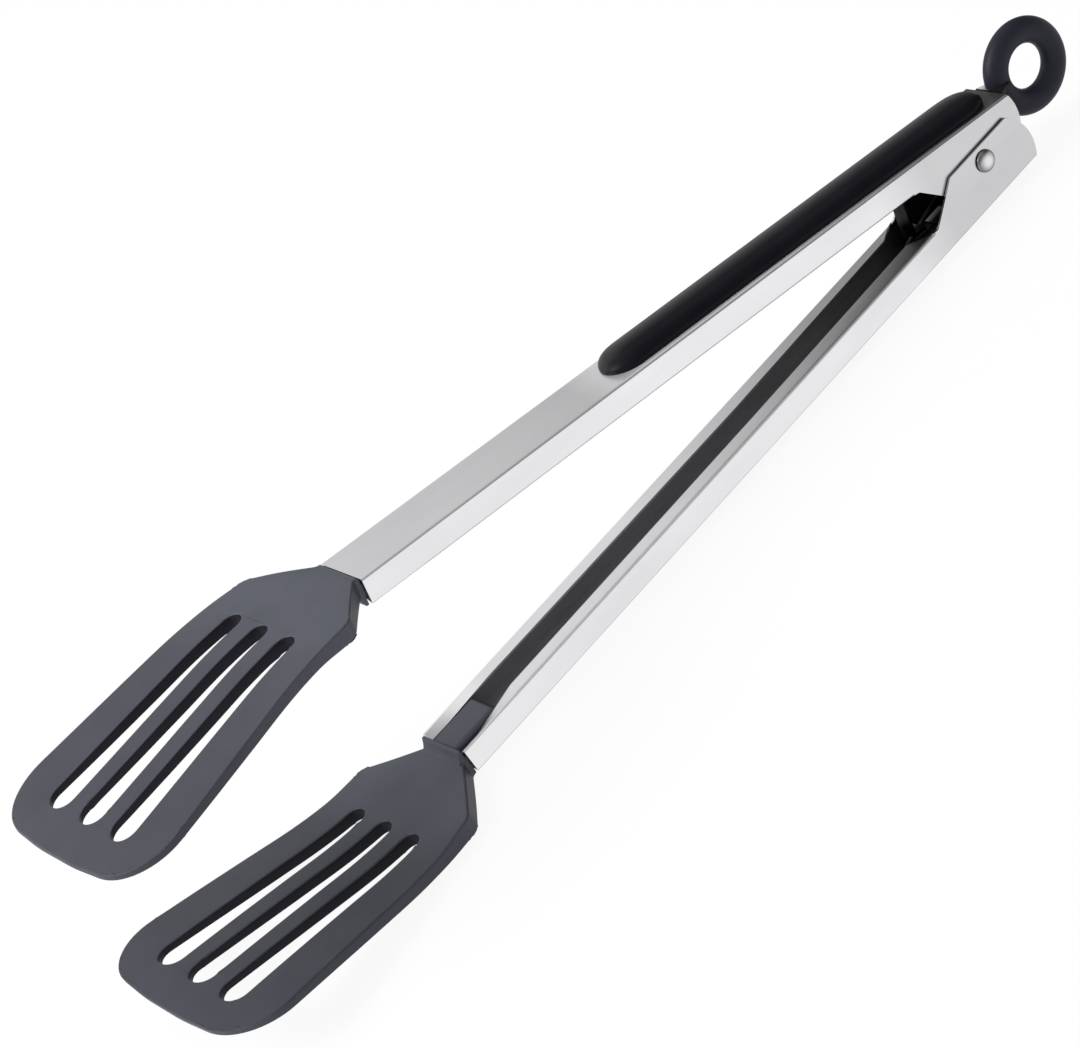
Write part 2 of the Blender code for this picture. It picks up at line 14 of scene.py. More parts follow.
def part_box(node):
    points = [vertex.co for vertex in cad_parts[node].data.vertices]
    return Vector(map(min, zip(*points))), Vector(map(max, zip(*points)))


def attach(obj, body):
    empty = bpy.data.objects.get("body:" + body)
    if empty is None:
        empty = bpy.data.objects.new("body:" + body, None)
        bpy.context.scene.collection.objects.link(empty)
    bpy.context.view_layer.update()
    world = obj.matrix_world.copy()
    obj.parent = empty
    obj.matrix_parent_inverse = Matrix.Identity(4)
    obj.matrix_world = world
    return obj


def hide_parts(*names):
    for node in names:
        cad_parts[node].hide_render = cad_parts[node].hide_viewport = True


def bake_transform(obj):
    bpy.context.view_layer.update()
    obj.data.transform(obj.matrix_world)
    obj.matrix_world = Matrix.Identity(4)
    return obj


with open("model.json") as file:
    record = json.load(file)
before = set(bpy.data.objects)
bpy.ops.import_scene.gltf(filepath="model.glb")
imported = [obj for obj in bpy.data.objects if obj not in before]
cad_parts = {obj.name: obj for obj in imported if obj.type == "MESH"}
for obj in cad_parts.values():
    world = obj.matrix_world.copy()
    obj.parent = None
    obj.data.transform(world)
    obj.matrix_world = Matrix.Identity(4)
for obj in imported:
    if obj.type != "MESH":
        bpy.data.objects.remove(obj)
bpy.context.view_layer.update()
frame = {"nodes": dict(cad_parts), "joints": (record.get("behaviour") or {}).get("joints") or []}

# What the frame gives
JOINTS = {joint["name"]: joint for joint in frame["joints"]}
PIVOT = Vector(JOINTS["arm_hinge"]["pos_m"])
PULL = Vector(JOINTS["lock_pull"]["axis"])
OPEN_ANGLE = math.atan2(-PULL.z, -PULL.x)
ARM_LOW, ARM_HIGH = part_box("lower_arm")
BLADE_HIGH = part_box("lower_blade")[1]
RIVET_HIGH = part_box("pivot_rivet")[1]
RING_LOW, RING_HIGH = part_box("pull_ring")
ARM_REAR = ARM_LOW.x - PIVOT.x
ARM_REACH = ARM_HIGH.x - PIVOT.x
BACK_HEIGHT = PIVOT.z - ARM_LOW.z
HEAD_HALF_WIDTH = ARM_HIGH.y
TIP_PLAY = 0.00003
TIP_REACH = BLADE_HIGH.x - PIVOT.x - TIP_PLAY

# The photograph's lower arm hangs this much lower than the frame's
LOWER_SAG = math.radians(0.15)
LOWER = Matrix.Translation(PIVOT) @ Matrix.Rotation(LOWER_SAG, 4, "Y") @ Matrix.Rotation(math.pi, 4, "X")
UPPER = Matrix.Translation(PIVOT) @ Matrix.Rotation(-OPEN_ANGLE, 4, "Y")

# Arms
SHEET = 0.0006
HINGE_WALL = 0.00711
HEAD_WALL = 0.0070
OUTER_HINGE_HALF_WIDTH = 0.0086
INNER_HINGE_HALF_WIDTH = 0.0077
BEND_RADIUS = 0.0007
SHEET_EDGE = 0.00012
CHEEK_DROP = 0.0042
CHEEK_END_RADIUS = 0.0115
CHEEK_END_HEIGHT = 0.0048
CHEEK_FLAT_END = 0.0109
CHEEK_RISE_END = 0.021
CHEEK_FILLET = 0.0015
LIP_START = 0.0225
LIP_FULL = 0.0285
LIP_TILT = 0.0008
LIP_LEVEL = 0.088
LIP_GAP_HALF = 0.0042
LIP_GAP_LEVEL_HALF = 0.0040
LIP_GAP_HEAD_HALF = 0.0045
LIP_MOUTH_HALF = 0.0059
LIP_MOUTH_SINK = 0.0016
LIP_MOUTH_LENGTH = 0.006
LIP_FLARE_LENGTH = 0.014
CATCH_SHEET = 0.0008
CATCH_REAR = 0.0112
CATCH_LENGTH = 0.0057
CATCH_HEIGHT = 0.0065
CATCH_HALF_WIDTH = 0.0024

# Grips
GRIP_REAR = 0.0103
GRIP_FRONT = 0.1165
GRIP_REAR_LENGTH = 0.0074
GRIP_FRONT_LENGTH = 0.0070
GRIP_REAR_FALL = 0.0110
GRIP_FRONT_FALL = 0.0085
GRIP_REAR_LOW_SHARE = 0.5
GRIP_FRONT_LOW_SHARE = 0.12
UPPER_GRIP_HALF_WIDTH = 0.0064
UPPER_GRIP_EDGE = 0.0022
UPPER_GRIP_RISE = 0.0039
UPPER_GRIP_CROWN = 0.0015
LOWER_GRIP_HALF_WIDTH = 0.0056
LOWER_GRIP_EDGE = 0.0015
LOWER_GRIP_RISE = 0.0024
LOWER_GRIP_CROWN = 0.0007
GRIP_SEAT = 0.0001

# Blades
JOINT_LINE = 0.0003
PLUG_LENGTH = 0.0006
BLADE_CREST = 0.01185
BLADE_FALL = 0.0149
BLADE_THICKNESS = 0.0039
OUTER_RIM = 0.0004
INNER_RIM = 0.0006
BLADE_SIDE_SHARES = (
    (0.0, 0.045, 1.26),
    (0.085, 0.0, 1.25),
    (0.175, 0.02, 1.10),
    (0.265, 0.06, 0.90),
    (0.38, 0.165, 0.82),
    (0.525, 0.355, 0.77),
    (0.695, 0.59, 0.66),
    (0.865, 0.825, 0.50),
    (1.0, 1.0, 0.34),
)
NECK_HALF_WIDTH = 0.0078
NECK_LENGTH = 0.0012
NECK_FILLET = 0.0015
SHOULDER_HALF_WIDTH = 0.0224
SHOULDER_REACH = 0.0125
SHOULDER_RADIUS = 0.0065
HEEL_HALF_WIDTH = 0.0329
HEEL_RADIUS = 0.014
TIP_FLAT_HALF_WIDTH = 0.008
TIP_SLOPE_SHARE = 0.083
TIP_ROUND = 0.08
SLOT_START = 0.0215
SLOT_TIP_MARGIN = 0.0089
SLOT_NARROW_RADIUS = 0.0026
SLOT_WIDE_RADIUS = 0.0040
SLOT_NEAR_SPREAD = 0.0114
SLOT_FAR_SPREAD = 0.0138
NECK_FOOT_LENGTH = 0.0008
NECK_RAMP_LENGTH = 0.0030
NECK_EDGE = 0.0002
TONGUE_LENGTH = 0.0160
TONGUE_HALF_WIDTH = 0.0049
TONGUE_SINK = 0.0005
TONGUE_EDGE = 0.0013

# Ring and rivet
RIVET_HEAD_RADIUS = 0.0029
RIVET_HEAD_HEIGHT = 0.0011
RIVET_FOOT_SHARE = 0.97
SHANK_RADIUS = 0.002
RING_RADIUS = 0.0091
RING_TUBE_RADIUS = 0.0034
RING_HALF_DEPTH = 0.0029
RING_TURN = math.radians(-3.9)
RING_LEAN = math.radians(1.6)
RING_SHIFT = (0.0002, 0.0001, 0.0002)

# Opening spring; its legs reach along the arms, close under the arms' backs
WIRE_RADIUS = 0.00065
WIRE_SIDES = 12
COIL_RADIUS = 0.00325
COIL_HALF_LENGTH = 0.0042
COIL_TURNS = 4
LOWER_LEG_REACH = 0.024
UPPER_LEG_REACH = 0.020
LEG_PLAY = 0.0003
STRAP_THICKNESS = 0.001

# Noise: the range that nearly all of it lies in, its detail, and its scales along and across an arm
NOISE_LOW = 0.3
NOISE_HIGH = 0.7
CLOUD_DETAIL = 3
GRAIN_DETAIL = 4
BRUSHED_SCALE = (90, 2200, 2200)
SATIN_CLOUD_SCALE = (30, 90, 90)
INSIDE_CLOUD_SCALE = (50, 300, 300)
SMALL_STEEL_CLOUD_SCALE = (400, 400, 400)
WIRE_CLOUD_SCALE = (300, 300, 300)
PLASTIC_CLOUD_SCALE = (90, 90, 90)
NYLON_GRAIN_SCALE = (2600, 2600, 2600)
BLACK_GRAIN_SCALE = (3000, 3000, 3000)
BRUSHED_DEPTH = 0.0000012
GRAIN_DEPTH = 0.00002

# Colours, from the darkest cloud to the lightest
SATIN_COLOURS = ((0.81, 0.81, 0.83), (0.87, 0.87, 0.885))
INSIDE_COLOURS = ((0.66, 0.66, 0.69), (0.78, 0.78, 0.81))
SMALL_STEEL_COLOURS = ((0.76, 0.77, 0.78), (0.84, 0.85, 0.86))
WIRE_COLOURS = ((0.05, 0.05, 0.055), (0.08, 0.08, 0.085))
NYLON_COLOURS = ((0.080, 0.085, 0.109), (0.094, 0.099, 0.126))
# The slot walls' colours are painted shade: the grey nylon made nearly black
SLOT_SHADE_COLOURS = ((0.013, 0.013, 0.019), (0.017, 0.017, 0.024))
GRIP_COLOURS = ((0.004, 0.004, 0.007), (0.006, 0.006, 0.010))
RING_COLOURS = ((0.014, 0.014, 0.025), (0.019, 0.019, 0.032))

# Roughness, from the smoothest place to the roughest
SATIN_ROUGHNESS = (0.22, 0.27)
LIP_ROUGHNESS = (0.36, 0.42)
INSIDE_ROUGHNESS = (0.45, 0.6)
SLIDE_ROUGHNESS = (0.2, 0.3)
RIVET_ROUGHNESS = (0.24, 0.36)
WIRE_ROUGHNESS = (0.35, 0.5)
GRIP_ROUGHNESS = (0.4, 0.5)
PLASTIC_ROUGHNESS = (0.45, 0.55)

# Gloss, as the shader's specular level; the grip's goes with how far its surface turns sideways, as a
# painted sheen on its far side
INSIDE_GLOSS = 0.2
SLIDE_GLOSS = 0.05
NYLON_GLOSS = 0.3
SLOT_WALL_GLOSS = 0.15
RING_GLOSS = 0.2
GRIP_GLOSS = 0.2
GRIP_FAR_TURN = -0.5
GRIP_NEAR_TURN = 0.15
GRIP_FAR_GLOSS = 0.9
GRIP_NEAR_GLOSS = 0.1

# How metallic the duller places of the steel are
INSIDE_METAL_SHARE = 0.2
GRIP_SIDE_METAL_SHARE = 0.4
SLIDE_METAL_SHARE = 0.45

# A surface turned this far to the back's direction is the back; painted shade on it lightens from one place
# to the other
BACK_TURN_SHARE = 0.75
BACK_DARK_START = -0.002
BACK_DARK_END = 0.07

# Walls of the blade that face the hinge get painted shade, darker from the first turn to the second
REAR_WALL_TURN = -0.4
REAR_WALL_FULL_TURN = -0.75

# Angles between faces: bends and rims to round, edges of the sheet to break, creases to keep sharp
BEND_ANGLE = math.radians(50)
RIM_ANGLE = 1
SHEET_EDGE_ANGLE = math.radians(60)
CREASE_ANGLE = math.radians(50)
BLADE_CREASE_ANGLE = math.radians(38)

# A face is a lip's if its normal points this far down, and a slot's wall if it rises less than this
LIP_NORMAL = -0.7
WALL_NORMAL = 0.5

# Places of the lip's finish and of the slot walls' painted shade in their pieces' lists
LIP_FINISH = 2
SLOT_WALL_SHADE_INDEX = 1

# Fineness, and the distance within which points count as one
CLOSE = 0.00012
CURVE_STEPS = 16
BEND_STEPS = 6
EDGE_STEPS = 2
BLADE_STRIPS = 70
GRIP_STRIPS = 12

# Painted shade, as shares of the full tone at places from 0 to 1
STEEL_HINGE_SHADE_SHARES = ((0, 0.74), (0.15, 0.74), (0.23, 1), (1, 1))
LIP_HINGE_SHADE_SHARES = ((0, 0.32), (0.2, 0.38), (0.345, 0.48), (0.487, 0.7), (0.66, 0.93), (1, 1))
UNDER_SHADE_SHARES = ((0, 0.6), (0.25, 0.6), (0.43, 1), (1, 1))
INSIDE_HINGE_SHADE_SHARES = ((0, 0.02), (0.175, 0.03), (0.22, 0.2), (0.345, 0.4), (0.487, 0.47), (0.7, 0.5))
BACK_REAR_SHADE_SHARES = ((0, 1), (1, 0.1))
REAR_WALL_SHADE_SHARES = ((0, 1), (1, 0.5))
SLIDE_EDGE_SHADE_SHARES = ((0, 0.03), (0.94, 0.03), (0.98, 1))
SLIDE_NEAR_SHADE_SHARES = ((0, 1), (0.3, 1), (0.5, 0.03), (1, 0.03))
RIVET_RIM_SHADE_SHARES = ((0, 1), (0.35, 0.95), (0.7, 0.5), (0.88, 0.24), (1, 0.35))
NYLON_TIP_SHADE_SHARES = ((0, 0.94), (0.15, 0.84), (0.35, 0.6), (0.75, 0.52), (1, 0.62))

# Light from a direction: along each axis, from the first place to the second, a share of white
SKY_SHARES = (
    ("Z", 0.1, 0.85, 0.66, 1),
    ("X", -0.66, -0.36, 0.3, 1),
    ("Y", -0.05, 0.4, 1, 0.6),
)

# Lamp and floor
LAMP_PLACE = (1.1, -0.3, 1.2)
LAMP_SIZE = 0.8
LAMP_POWER = 20
FLOOR_SIZE = 4
FLOOR_TONE = 0.9
FLOOR_GLOW_SHARE = 0.92

# Camera: its place from the pivot, its turn, and its lens and sensor in millimetres
CAMERA_PLACE = (0.397429, 0.653402, 0.450730)
CAMERA_DEGREES = (52.714, 29.6937, 138.3744)
CAMERA_LENS = 118.42
CAMERA_SENSOR = 36
CAMERA_SHIFT = 0.0011
CAMERA_NEAR = 0.05
CAMERA_FAR = 20

NECK_START = ARM_REACH + JOINT_LINE
BLADE_LENGTH = TIP_REACH - NECK_START


def node_tree(name):
    """A new material, its nodes and its links, with the shader that it ends in."""
    material = bpy.data.materials.new(name)
    material.use_nodes = True
    nodes = material.node_tree.nodes
    return material, nodes, material.node_tree.links, nodes["Principled BSDF"]


def arm_place(nodes, links, tilt):
    """Object coordinates measured from the pivot, turned to lie along an arm."""
    place = nodes.new("ShaderNodeTexCoord")
    turn = nodes.new("ShaderNodeMapping")
    turn.vector_type = "TEXTURE"
    turn.inputs["Location"].default_value = PIVOT
    turn.inputs["Rotation"].default_value = (0, -tilt, 0)
    links.new(place.outputs["Object"], turn.inputs["Vector"])
    return turn


def object_noise(nodes, links, tilt, scale, detail):
    """Noise on object coordinates, stretched along an arm."""
    turn = arm_place(nodes, links, tilt)
    stretch = nodes.new("ShaderNodeMapping")
    stretch.inputs["Scale"].default_value = scale
    noise = nodes.new("ShaderNodeTexNoise")
    noise.inputs["Scale"].default_value = 1
    noise.inputs["Detail"].default_value = detail
    links.new(turn.outputs["Vector"], stretch.inputs["Vector"])
    links.new(stretch.outputs["Vector"], noise.inputs["Vector"])
    return noise


def remap(nodes, links, value, start, end, low=0, high=1):
    """Carries a value's range from start to end over to the range from low to high."""
    scale = nodes.new("ShaderNodeMapRange")
    scale.inputs["From Min"].default_value = start
    scale.inputs["From Max"].default_value = end
    scale.inputs["To Min"].default_value = low
    scale.inputs["To Max"].default_value = high
    links.new(value, scale.inputs["Value"])
    return scale


def one_axis(nodes, links, vector, axis):
    """A vector's part along one axis."""
    split = nodes.new("ShaderNodeSeparateXYZ")
    links.new(vector, split.inputs["Vector"])
    return split.outputs[axis]


def turn_to(nodes, links, normal, direction):
    """How far a surface turns to a direction: 1 where it faces that way, 0 where it is square to it."""
    level = nodes.new("ShaderNodeVectorMath")
    level.operation = "DOT_PRODUCT"
    level.inputs[1].default_value = direction
    links.new(normal, level.inputs[0])
    return level.outputs["Value"]


def combine(nodes, links, operation, first, second):
    """One value made of two."""
    both = nodes.new("ShaderNodeMath")
    both.operation = operation
    links.new(first, both.inputs[0])
    links.new(second, both.inputs[1])
    return both.outputs[0]


def roughen(nodes, links, shader, source, roughness):
    """Roughness that varies with a texture, from the smoothest to the roughest."""
    scale = remap(nodes, links, source.outputs["Fac"], NOISE_LOW, NOISE_HIGH, *roughness)
    links.new(scale.outputs["Result"], shader.inputs["Roughness"])


def add_bump(nodes, links, shader, source, depth):
    """A texture raised from the surface."""
    bump = nodes.new("ShaderNodeBump")
    bump.inputs["Distance"].default_value = depth
    bump.inputs["Strength"].default_value = 1
    links.new(source.outputs["Fac"], bump.inputs["Height"])
    links.new(bump.outputs["Normal"], shader.inputs["Normal"])


def tint(nodes, links, shader, source, colours):
    """Colour that varies between two colours with a texture."""
    ramp = nodes.new("ShaderNodeValToRGB")
    for stop, position, colour in zip(ramp.color_ramp.elements, (NOISE_LOW, NOISE_HIGH), colours):
        stop.position = position
        stop.color = (*colour, 1)
    links.new(source.outputs["Fac"], ramp.inputs["Fac"])
    links.new(ramp.outputs["Color"], shader.inputs["Base Color"])
    return ramp


def shade_by(nodes, links, shader, colour, value, shares):
    """Scales a colour by shares, each given at a place in a value's range from 0 to 1."""
    ramp = nodes.new("ShaderNodeValToRGB")
    stops = ramp.color_ramp.elements
    while len(stops) < len(shares):
        stops.new(1)
    for stop, (position, share) in zip(stops, shares):
        stop.position = position
        stop.color = (share, share, share, 1)
    scale = nodes.new("ShaderNodeVectorMath")
    scale.operation = "MULTIPLY"
    links.new(value, ramp.inputs["Fac"])
    links.new(colour.outputs[0], scale.inputs[0])
    links.new(ramp.outputs["Color"], scale.inputs[1])
    links.new(scale.outputs["Vector"], shader.inputs["Base Color"])
    return scale


def share_along(nodes, links, tilt, start, end):
    """How far a point lies along an arm: 0 at one distance from the pivot, 1 at another."""
    along = one_axis(nodes, links, arm_place(nodes, links, tilt).outputs["Vector"], "X")
    return remap(nodes, links, along, start, end).outputs["Result"]


def dull_beside_grip(nodes, links, shader, tilt, back_turn):
    """The arm's back shines less along the grip than in front of it."""
    beside = remap(nodes, links, back_turn, BACK_TURN_SHARE, 1, 1, GRIP_SIDE_METAL_SHARE)
    along = share_along(nodes, links, tilt, GRIP_FRONT - GRIP_FRONT_LENGTH, GRIP_FRONT + GRIP_FRONT_FALL)
    beyond = remap(nodes, links, along, 0, 1)
    links.new(beside.outputs["Result"], beyond.inputs["To Min"])
    links.new(beyond.outputs["Result"], shader.inputs["Metallic"])


def paint_rear_shade(nodes, links, shader, tone, tilt, back_turn):
    """Painted shade on the arm's back, darkest at the hinge."""
    on_back = remap(nodes, links, back_turn, BACK_TURN_SHARE, 1)
    along = share_along(nodes, links, tilt, BACK_DARK_START, BACK_DARK_END)
    rear = remap(nodes, links, along, 0, 1, high=0)
    links.new(on_back.outputs["Result"], rear.inputs["To Min"])
    shade_by(nodes, links, shader, tone, rear.outputs["Result"], BACK_REAR_SHADE_SHARES)


def satin_steel(name, tilt, back, hinge_shade_shares, roughness):
    """Polished sheet with a fine lengthwise grain and faint clouds; painted shade darkens it towards the
    hinge, on faces that turn under, and on the back at the hinge end.
    """
    material, nodes, links, shader = node_tree(name)
    brushed = object_noise(nodes, links, tilt, BRUSHED_SCALE, CLOUD_DETAIL)
    cloudy = object_noise(nodes, links, tilt, SATIN_CLOUD_SCALE, CLOUD_DETAIL)
    tone = tint(nodes, links, shader, cloudy, SATIN_COLOURS)
    along = share_along(nodes, links, tilt, ARM_REAR, ARM_REACH)
    # Painted shade: darker along the arm towards the hinge
    tone = shade_by(nodes, links, shader, tone, along, hinge_shade_shares)
    # Painted shade on faces that turn down towards the floor
    normal = nodes.new("ShaderNodeNewGeometry").outputs["Normal"]
    upward = remap(nodes, links, one_axis(nodes, links, normal, "Z"), -1, 1)
    tone = shade_by(nodes, links, shader, tone, upward.outputs["Result"], UNDER_SHADE_SHARES)
    roughen(nodes, links, shader, brushed, roughness)
    add_bump(nodes, links, shader, brushed, BRUSHED_DEPTH)
    back_turn = turn_to(nodes, links, normal, back)
    dull_beside_grip(nodes, links, shader, tilt, back_turn)
    paint_rear_shade(nodes, links, shader, tone, tilt, back_turn)
    return material


def inner_steel(name, tilt):
    """The unpolished inside of the pressed sheet, with painted shade along the arm that is near black at
    the hinge.
    """
    material, nodes, links, shader = node_tree(name)
    shader.inputs["Metallic"].default_value = INSIDE_METAL_SHARE
    shader.inputs["Specular IOR Level"].default_value = INSIDE_GLOSS
    cloudy = object_noise(nodes, links, tilt, INSIDE_CLOUD_SCALE, GRAIN_DETAIL)
    tone = tint(nodes, links, shader, cloudy, INSIDE_COLOURS)
    along = share_along(nodes, links, tilt, ARM_REAR, ARM_REACH)
    # Painted shade: near black at the hinge, lighter towards the head
    shade_by(nodes, links, shader, tone, along, INSIDE_HINGE_SHADE_SHARES)
    roughen(nodes, links, shader, cloudy, INSIDE_ROUGHNESS)
    return material


def small_steel(name, cloud_scale, colours, roughness):
    """Steel of a small part; what scales its tone is added by the caller."""
    material, nodes, links, shader = node_tree(name)
    shader.inputs["Metallic"].default_value = 1
    cloudy = object_noise(nodes, links, 0, cloud_scale, CLOUD_DETAIL)
    tone = tint(nodes, links, shader, cloudy, colours)
    roughen(nodes, links, shader, cloudy, roughness)
    return material, nodes, links, shader, tone


def slide_steel():
    """Steel with painted shade: near black on its near half and on cut edges, legs and the rest; bright
    only on the tab's flat face at the far side.
    """
    material, nodes, links, shader, tone = small_steel(
        "slide_steel", SMALL_STEEL_CLOUD_SCALE, SMALL_STEEL_COLOURS, SLIDE_ROUGHNESS,
    )
    shader.inputs["Metallic"].default_value = SLIDE_METAL_SHARE
    shader.inputs["Specular IOR Level"].default_value = SLIDE_GLOSS
    place = nodes.new("ShaderNodeTexCoord").outputs["Object"]
    across = remap(nodes, links, one_axis(nodes, links, place, "Y"), -HEAD_HALF_WIDTH, HEAD_HALF_WIDTH)
    # Painted shade on the slide's near half
    near_shaded = shade_by(nodes, links, shader, tone, across.outputs["Result"], SLIDE_NEAR_SHADE_SHARES)
    normal = nodes.new("ShaderNodeNewGeometry").outputs["True Normal"]
    flat_turn = turn_to(nodes, links, normal, (-math.sin(OPEN_ANGLE), 0, math.cos(OPEN_ANGLE)))
    # Painted shade on every face not turned the back's way
    shade_by(nodes, links, shader, near_shaded, flat_turn, SLIDE_EDGE_SHADE_SHARES)
    return material


def rivet_steel():
    """Steel with painted shade and reflection: lightest in the middle of the head, darker towards its rim,
    a little lighter again at the rim.
    """
    material, nodes, links, shader, tone = small_steel(
        "rivet_steel", SMALL_STEEL_CLOUD_SCALE, SMALL_STEEL_COLOURS, RIVET_ROUGHNESS,
    )
    flat = nodes.new("ShaderNodeVectorMath")
    flat.operation = "MULTIPLY"
    flat.inputs[1].default_value = (1 / RIVET_HEAD_RADIUS, 0, 1 / RIVET_HEAD_RADIUS)
    length = nodes.new("ShaderNodeVectorMath")
    length.operation = "LENGTH"
    links.new(arm_place(nodes, links, 0).outputs["Vector"], flat.inputs[0])
    links.new(flat.outputs["Vector"], length.inputs[0])
    # Painted shade and reflection from the head's middle to its rim
    shade_by(nodes, links, shader, tone, length.outputs["Value"], RIVET_RIM_SHADE_SHARES)
    return material


def moulded(name, colours, roughness, gloss, grain_scale):
    """Moulded plastic: a fine grain, slight clouds of tone and an uneven sheen."""
    material, nodes, links, shader = node_tree(name)
    shader.inputs["Specular IOR Level"].default_value = gloss
    fine = object_noise(nodes, links, 0, grain_scale, GRAIN_DETAIL)
    cloudy = object_noise(nodes, links, 0, PLASTIC_CLOUD_SCALE, CLOUD_DETAIL)
    tone = tint(nodes, links, shader, cloudy, colours)
    roughen(nodes, links, shader, fine, roughness)
    add_bump(nodes, links, shader, fine, GRAIN_DEPTH)
    return material, nodes, links, shader, tone


def blade_nylon():
    """Grey nylon with painted shade: a little darker from the shoulders to the tip and on the walls that
    face the hinge.
    """
    material, nodes, links, shader, tone = moulded(
        "grey_nylon", NYLON_COLOURS, PLASTIC_ROUGHNESS, NYLON_GLOSS, NYLON_GRAIN_SCALE,
    )
    along = share_along(nodes, links, 0, NECK_START, TIP_REACH)
    # Painted shade from the shoulders to the tip
    tone = shade_by(nodes, links, shader, tone, along, NYLON_TIP_SHADE_SHARES)
    normal = nodes.new("ShaderNodeTexCoord").outputs["Normal"]
    rearward = remap(
        nodes, links, one_axis(nodes, links, normal, "X"), REAR_WALL_TURN, REAR_WALL_FULL_TURN,
    )
    # Painted shade on walls that face the hinge
    shade_by(nodes, links, shader, tone, rearward.outputs["Result"], REAR_WALL_SHADE_SHARES)
    return material


def grip_plastic():
    """Black soft plastic, glossier towards its far side as a painted sheen."""
    material, nodes, links, shader, _ = moulded(
        "black_soft_plastic", GRIP_COLOURS, GRIP_ROUGHNESS, GRIP_GLOSS, BLACK_GRAIN_SCALE,
    )
    normal = nodes.new("ShaderNodeTexCoord").outputs["Normal"]
    sideways = one_axis(nodes, links, normal, "Y")
    gloss = remap(
        nodes, links, sideways, GRIP_FAR_TURN, GRIP_NEAR_TURN, GRIP_FAR_GLOSS, GRIP_NEAR_GLOSS,
    )
    # Painted sheen: more gloss where the surface turns to the far side
    links.new(gloss.outputs["Result"], shader.inputs["Specular IOR Level"])
    return material


def vertices_of(parts):
    """The vertices among the parts that an operator gives back."""
    return [part for part in parts if isinstance(part, bmesh.types.BMVert)]


def draw_out(bm, faces, shift):
    """Extrudes faces by a shift."""
    drawn = bmesh.ops.extrude_face_region(bm, geom=faces)["geom"]
    bmesh.ops.translate(bm, vec=shift, verts=vertices_of(drawn))


def cut(bm, place, normal):
    """Divides every face that a plane crosses."""
    bmesh.ops.bisect_plane(
        bm, geom=bm.verts[:] + bm.edges[:] + bm.faces[:], plane_co=place, plane_no=normal,
    )


def round_edges(bm, edges, width, segments):
    """Rounds edges, with the material of the faces beside them."""
    bmesh.ops.bevel(
        bm, geom=edges, offset=width, segments=segments, profile=0.5, affect="EDGES", material=-1,
    )


def spin_round(bm, steps):
    """Spins an outline once round the Y axis."""
    bmesh.ops.spin(
        bm, geom=bm.verts[:] + bm.edges[:], cent=(0, 0, 0), axis=(0, 1, 0),
        angle=2 * math.pi, steps=steps, use_merge=True,
    )


def new_object(name, bm, place):
    """An object made from a shape, which is laid in place in its mesh."""
    mesh = bpy.data.meshes.new(name)
    bm.to_mesh(mesh)
    bm.free()
    mesh.transform(place)
    mesh.shade_smooth()
    item = bpy.data.objects.new(name, mesh)
    bpy.context.scene.collection.objects.link(item)
    return item


def add_piece(name, bm, place, materials, body):
    """A finished piece, which rides on a body if one is named."""
    piece = new_object(name, bm, place)
    for material in materials:
        piece.data.materials.append(material)
    if body:
        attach(piece, body)
    return piece


def even_shading(piece):
    """Shading that follows the large faces and not the narrow rounded edges."""
    normals = piece.modifiers.new("normals", "WEIGHTED_NORMAL")
    normals.keep_sharp = True


def wall_edge(x):
    """Height of a wall's free edge, from the pivot towards the arm's back."""
    return BACK_HEIGHT - HINGE_WALL + (HINGE_WALL - HEAD_WALL) * x / ARM_REACH


def round_corner(before, corner, after, radius, steps):
    """Points of the arc that rounds a corner between two straight stretches."""
    towards, onwards = (before - corner).normalized(), (after - corner).normalized()
    half = towards.angle(onwards) / 2
    centre = corner + (towards + onwards).normalized() * radius / math.sin(half)
    first = corner + towards * radius / math.tan(half) - centre
    last = corner + onwards * radius / math.tan(half) - centre
    turn = -first.angle_signed(last)
    points = []
    for step in range(steps + 1):
        angle = turn * step / steps
        c, s = math.cos(angle), math.sin(angle)
        points.append(centre + Vector((c * first.x - s * first.y, s * first.x + c * first.y)))
    return points


def cheek_outline():
    """The cheek's edge from the back's hinge end, round the pivot, to the lip's start."""
    centre = Vector((ARM_REAR + CHEEK_END_RADIUS, CHEEK_END_HEIGHT))
    start = math.pi - math.asin((BACK_HEIGHT - centre.y) / CHEEK_END_RADIUS)
    end = math.pi + math.asin((CHEEK_DROP + centre.y) / CHEEK_END_RADIUS)
    points = []
    for step in range(CURVE_STEPS + 1):
        angle = start + (end - start) * step / CURVE_STEPS
        points.append(centre + CHEEK_END_RADIUS * Vector((math.cos(angle), math.sin(angle))))
    low = Vector((CHEEK_FLAT_END, -CHEEK_DROP))
    high = Vector((CHEEK_RISE_END, wall_edge(CHEEK_RISE_END)))
    lip = Vector((LIP_START, wall_edge(LIP_START)))
    points += round_corner(points[-1], low, high, CHEEK_FILLET, BEND_STEPS)
    points += round_corner(low, high, lip, CHEEK_FILLET, BEND_STEPS)
    return points + [lip]


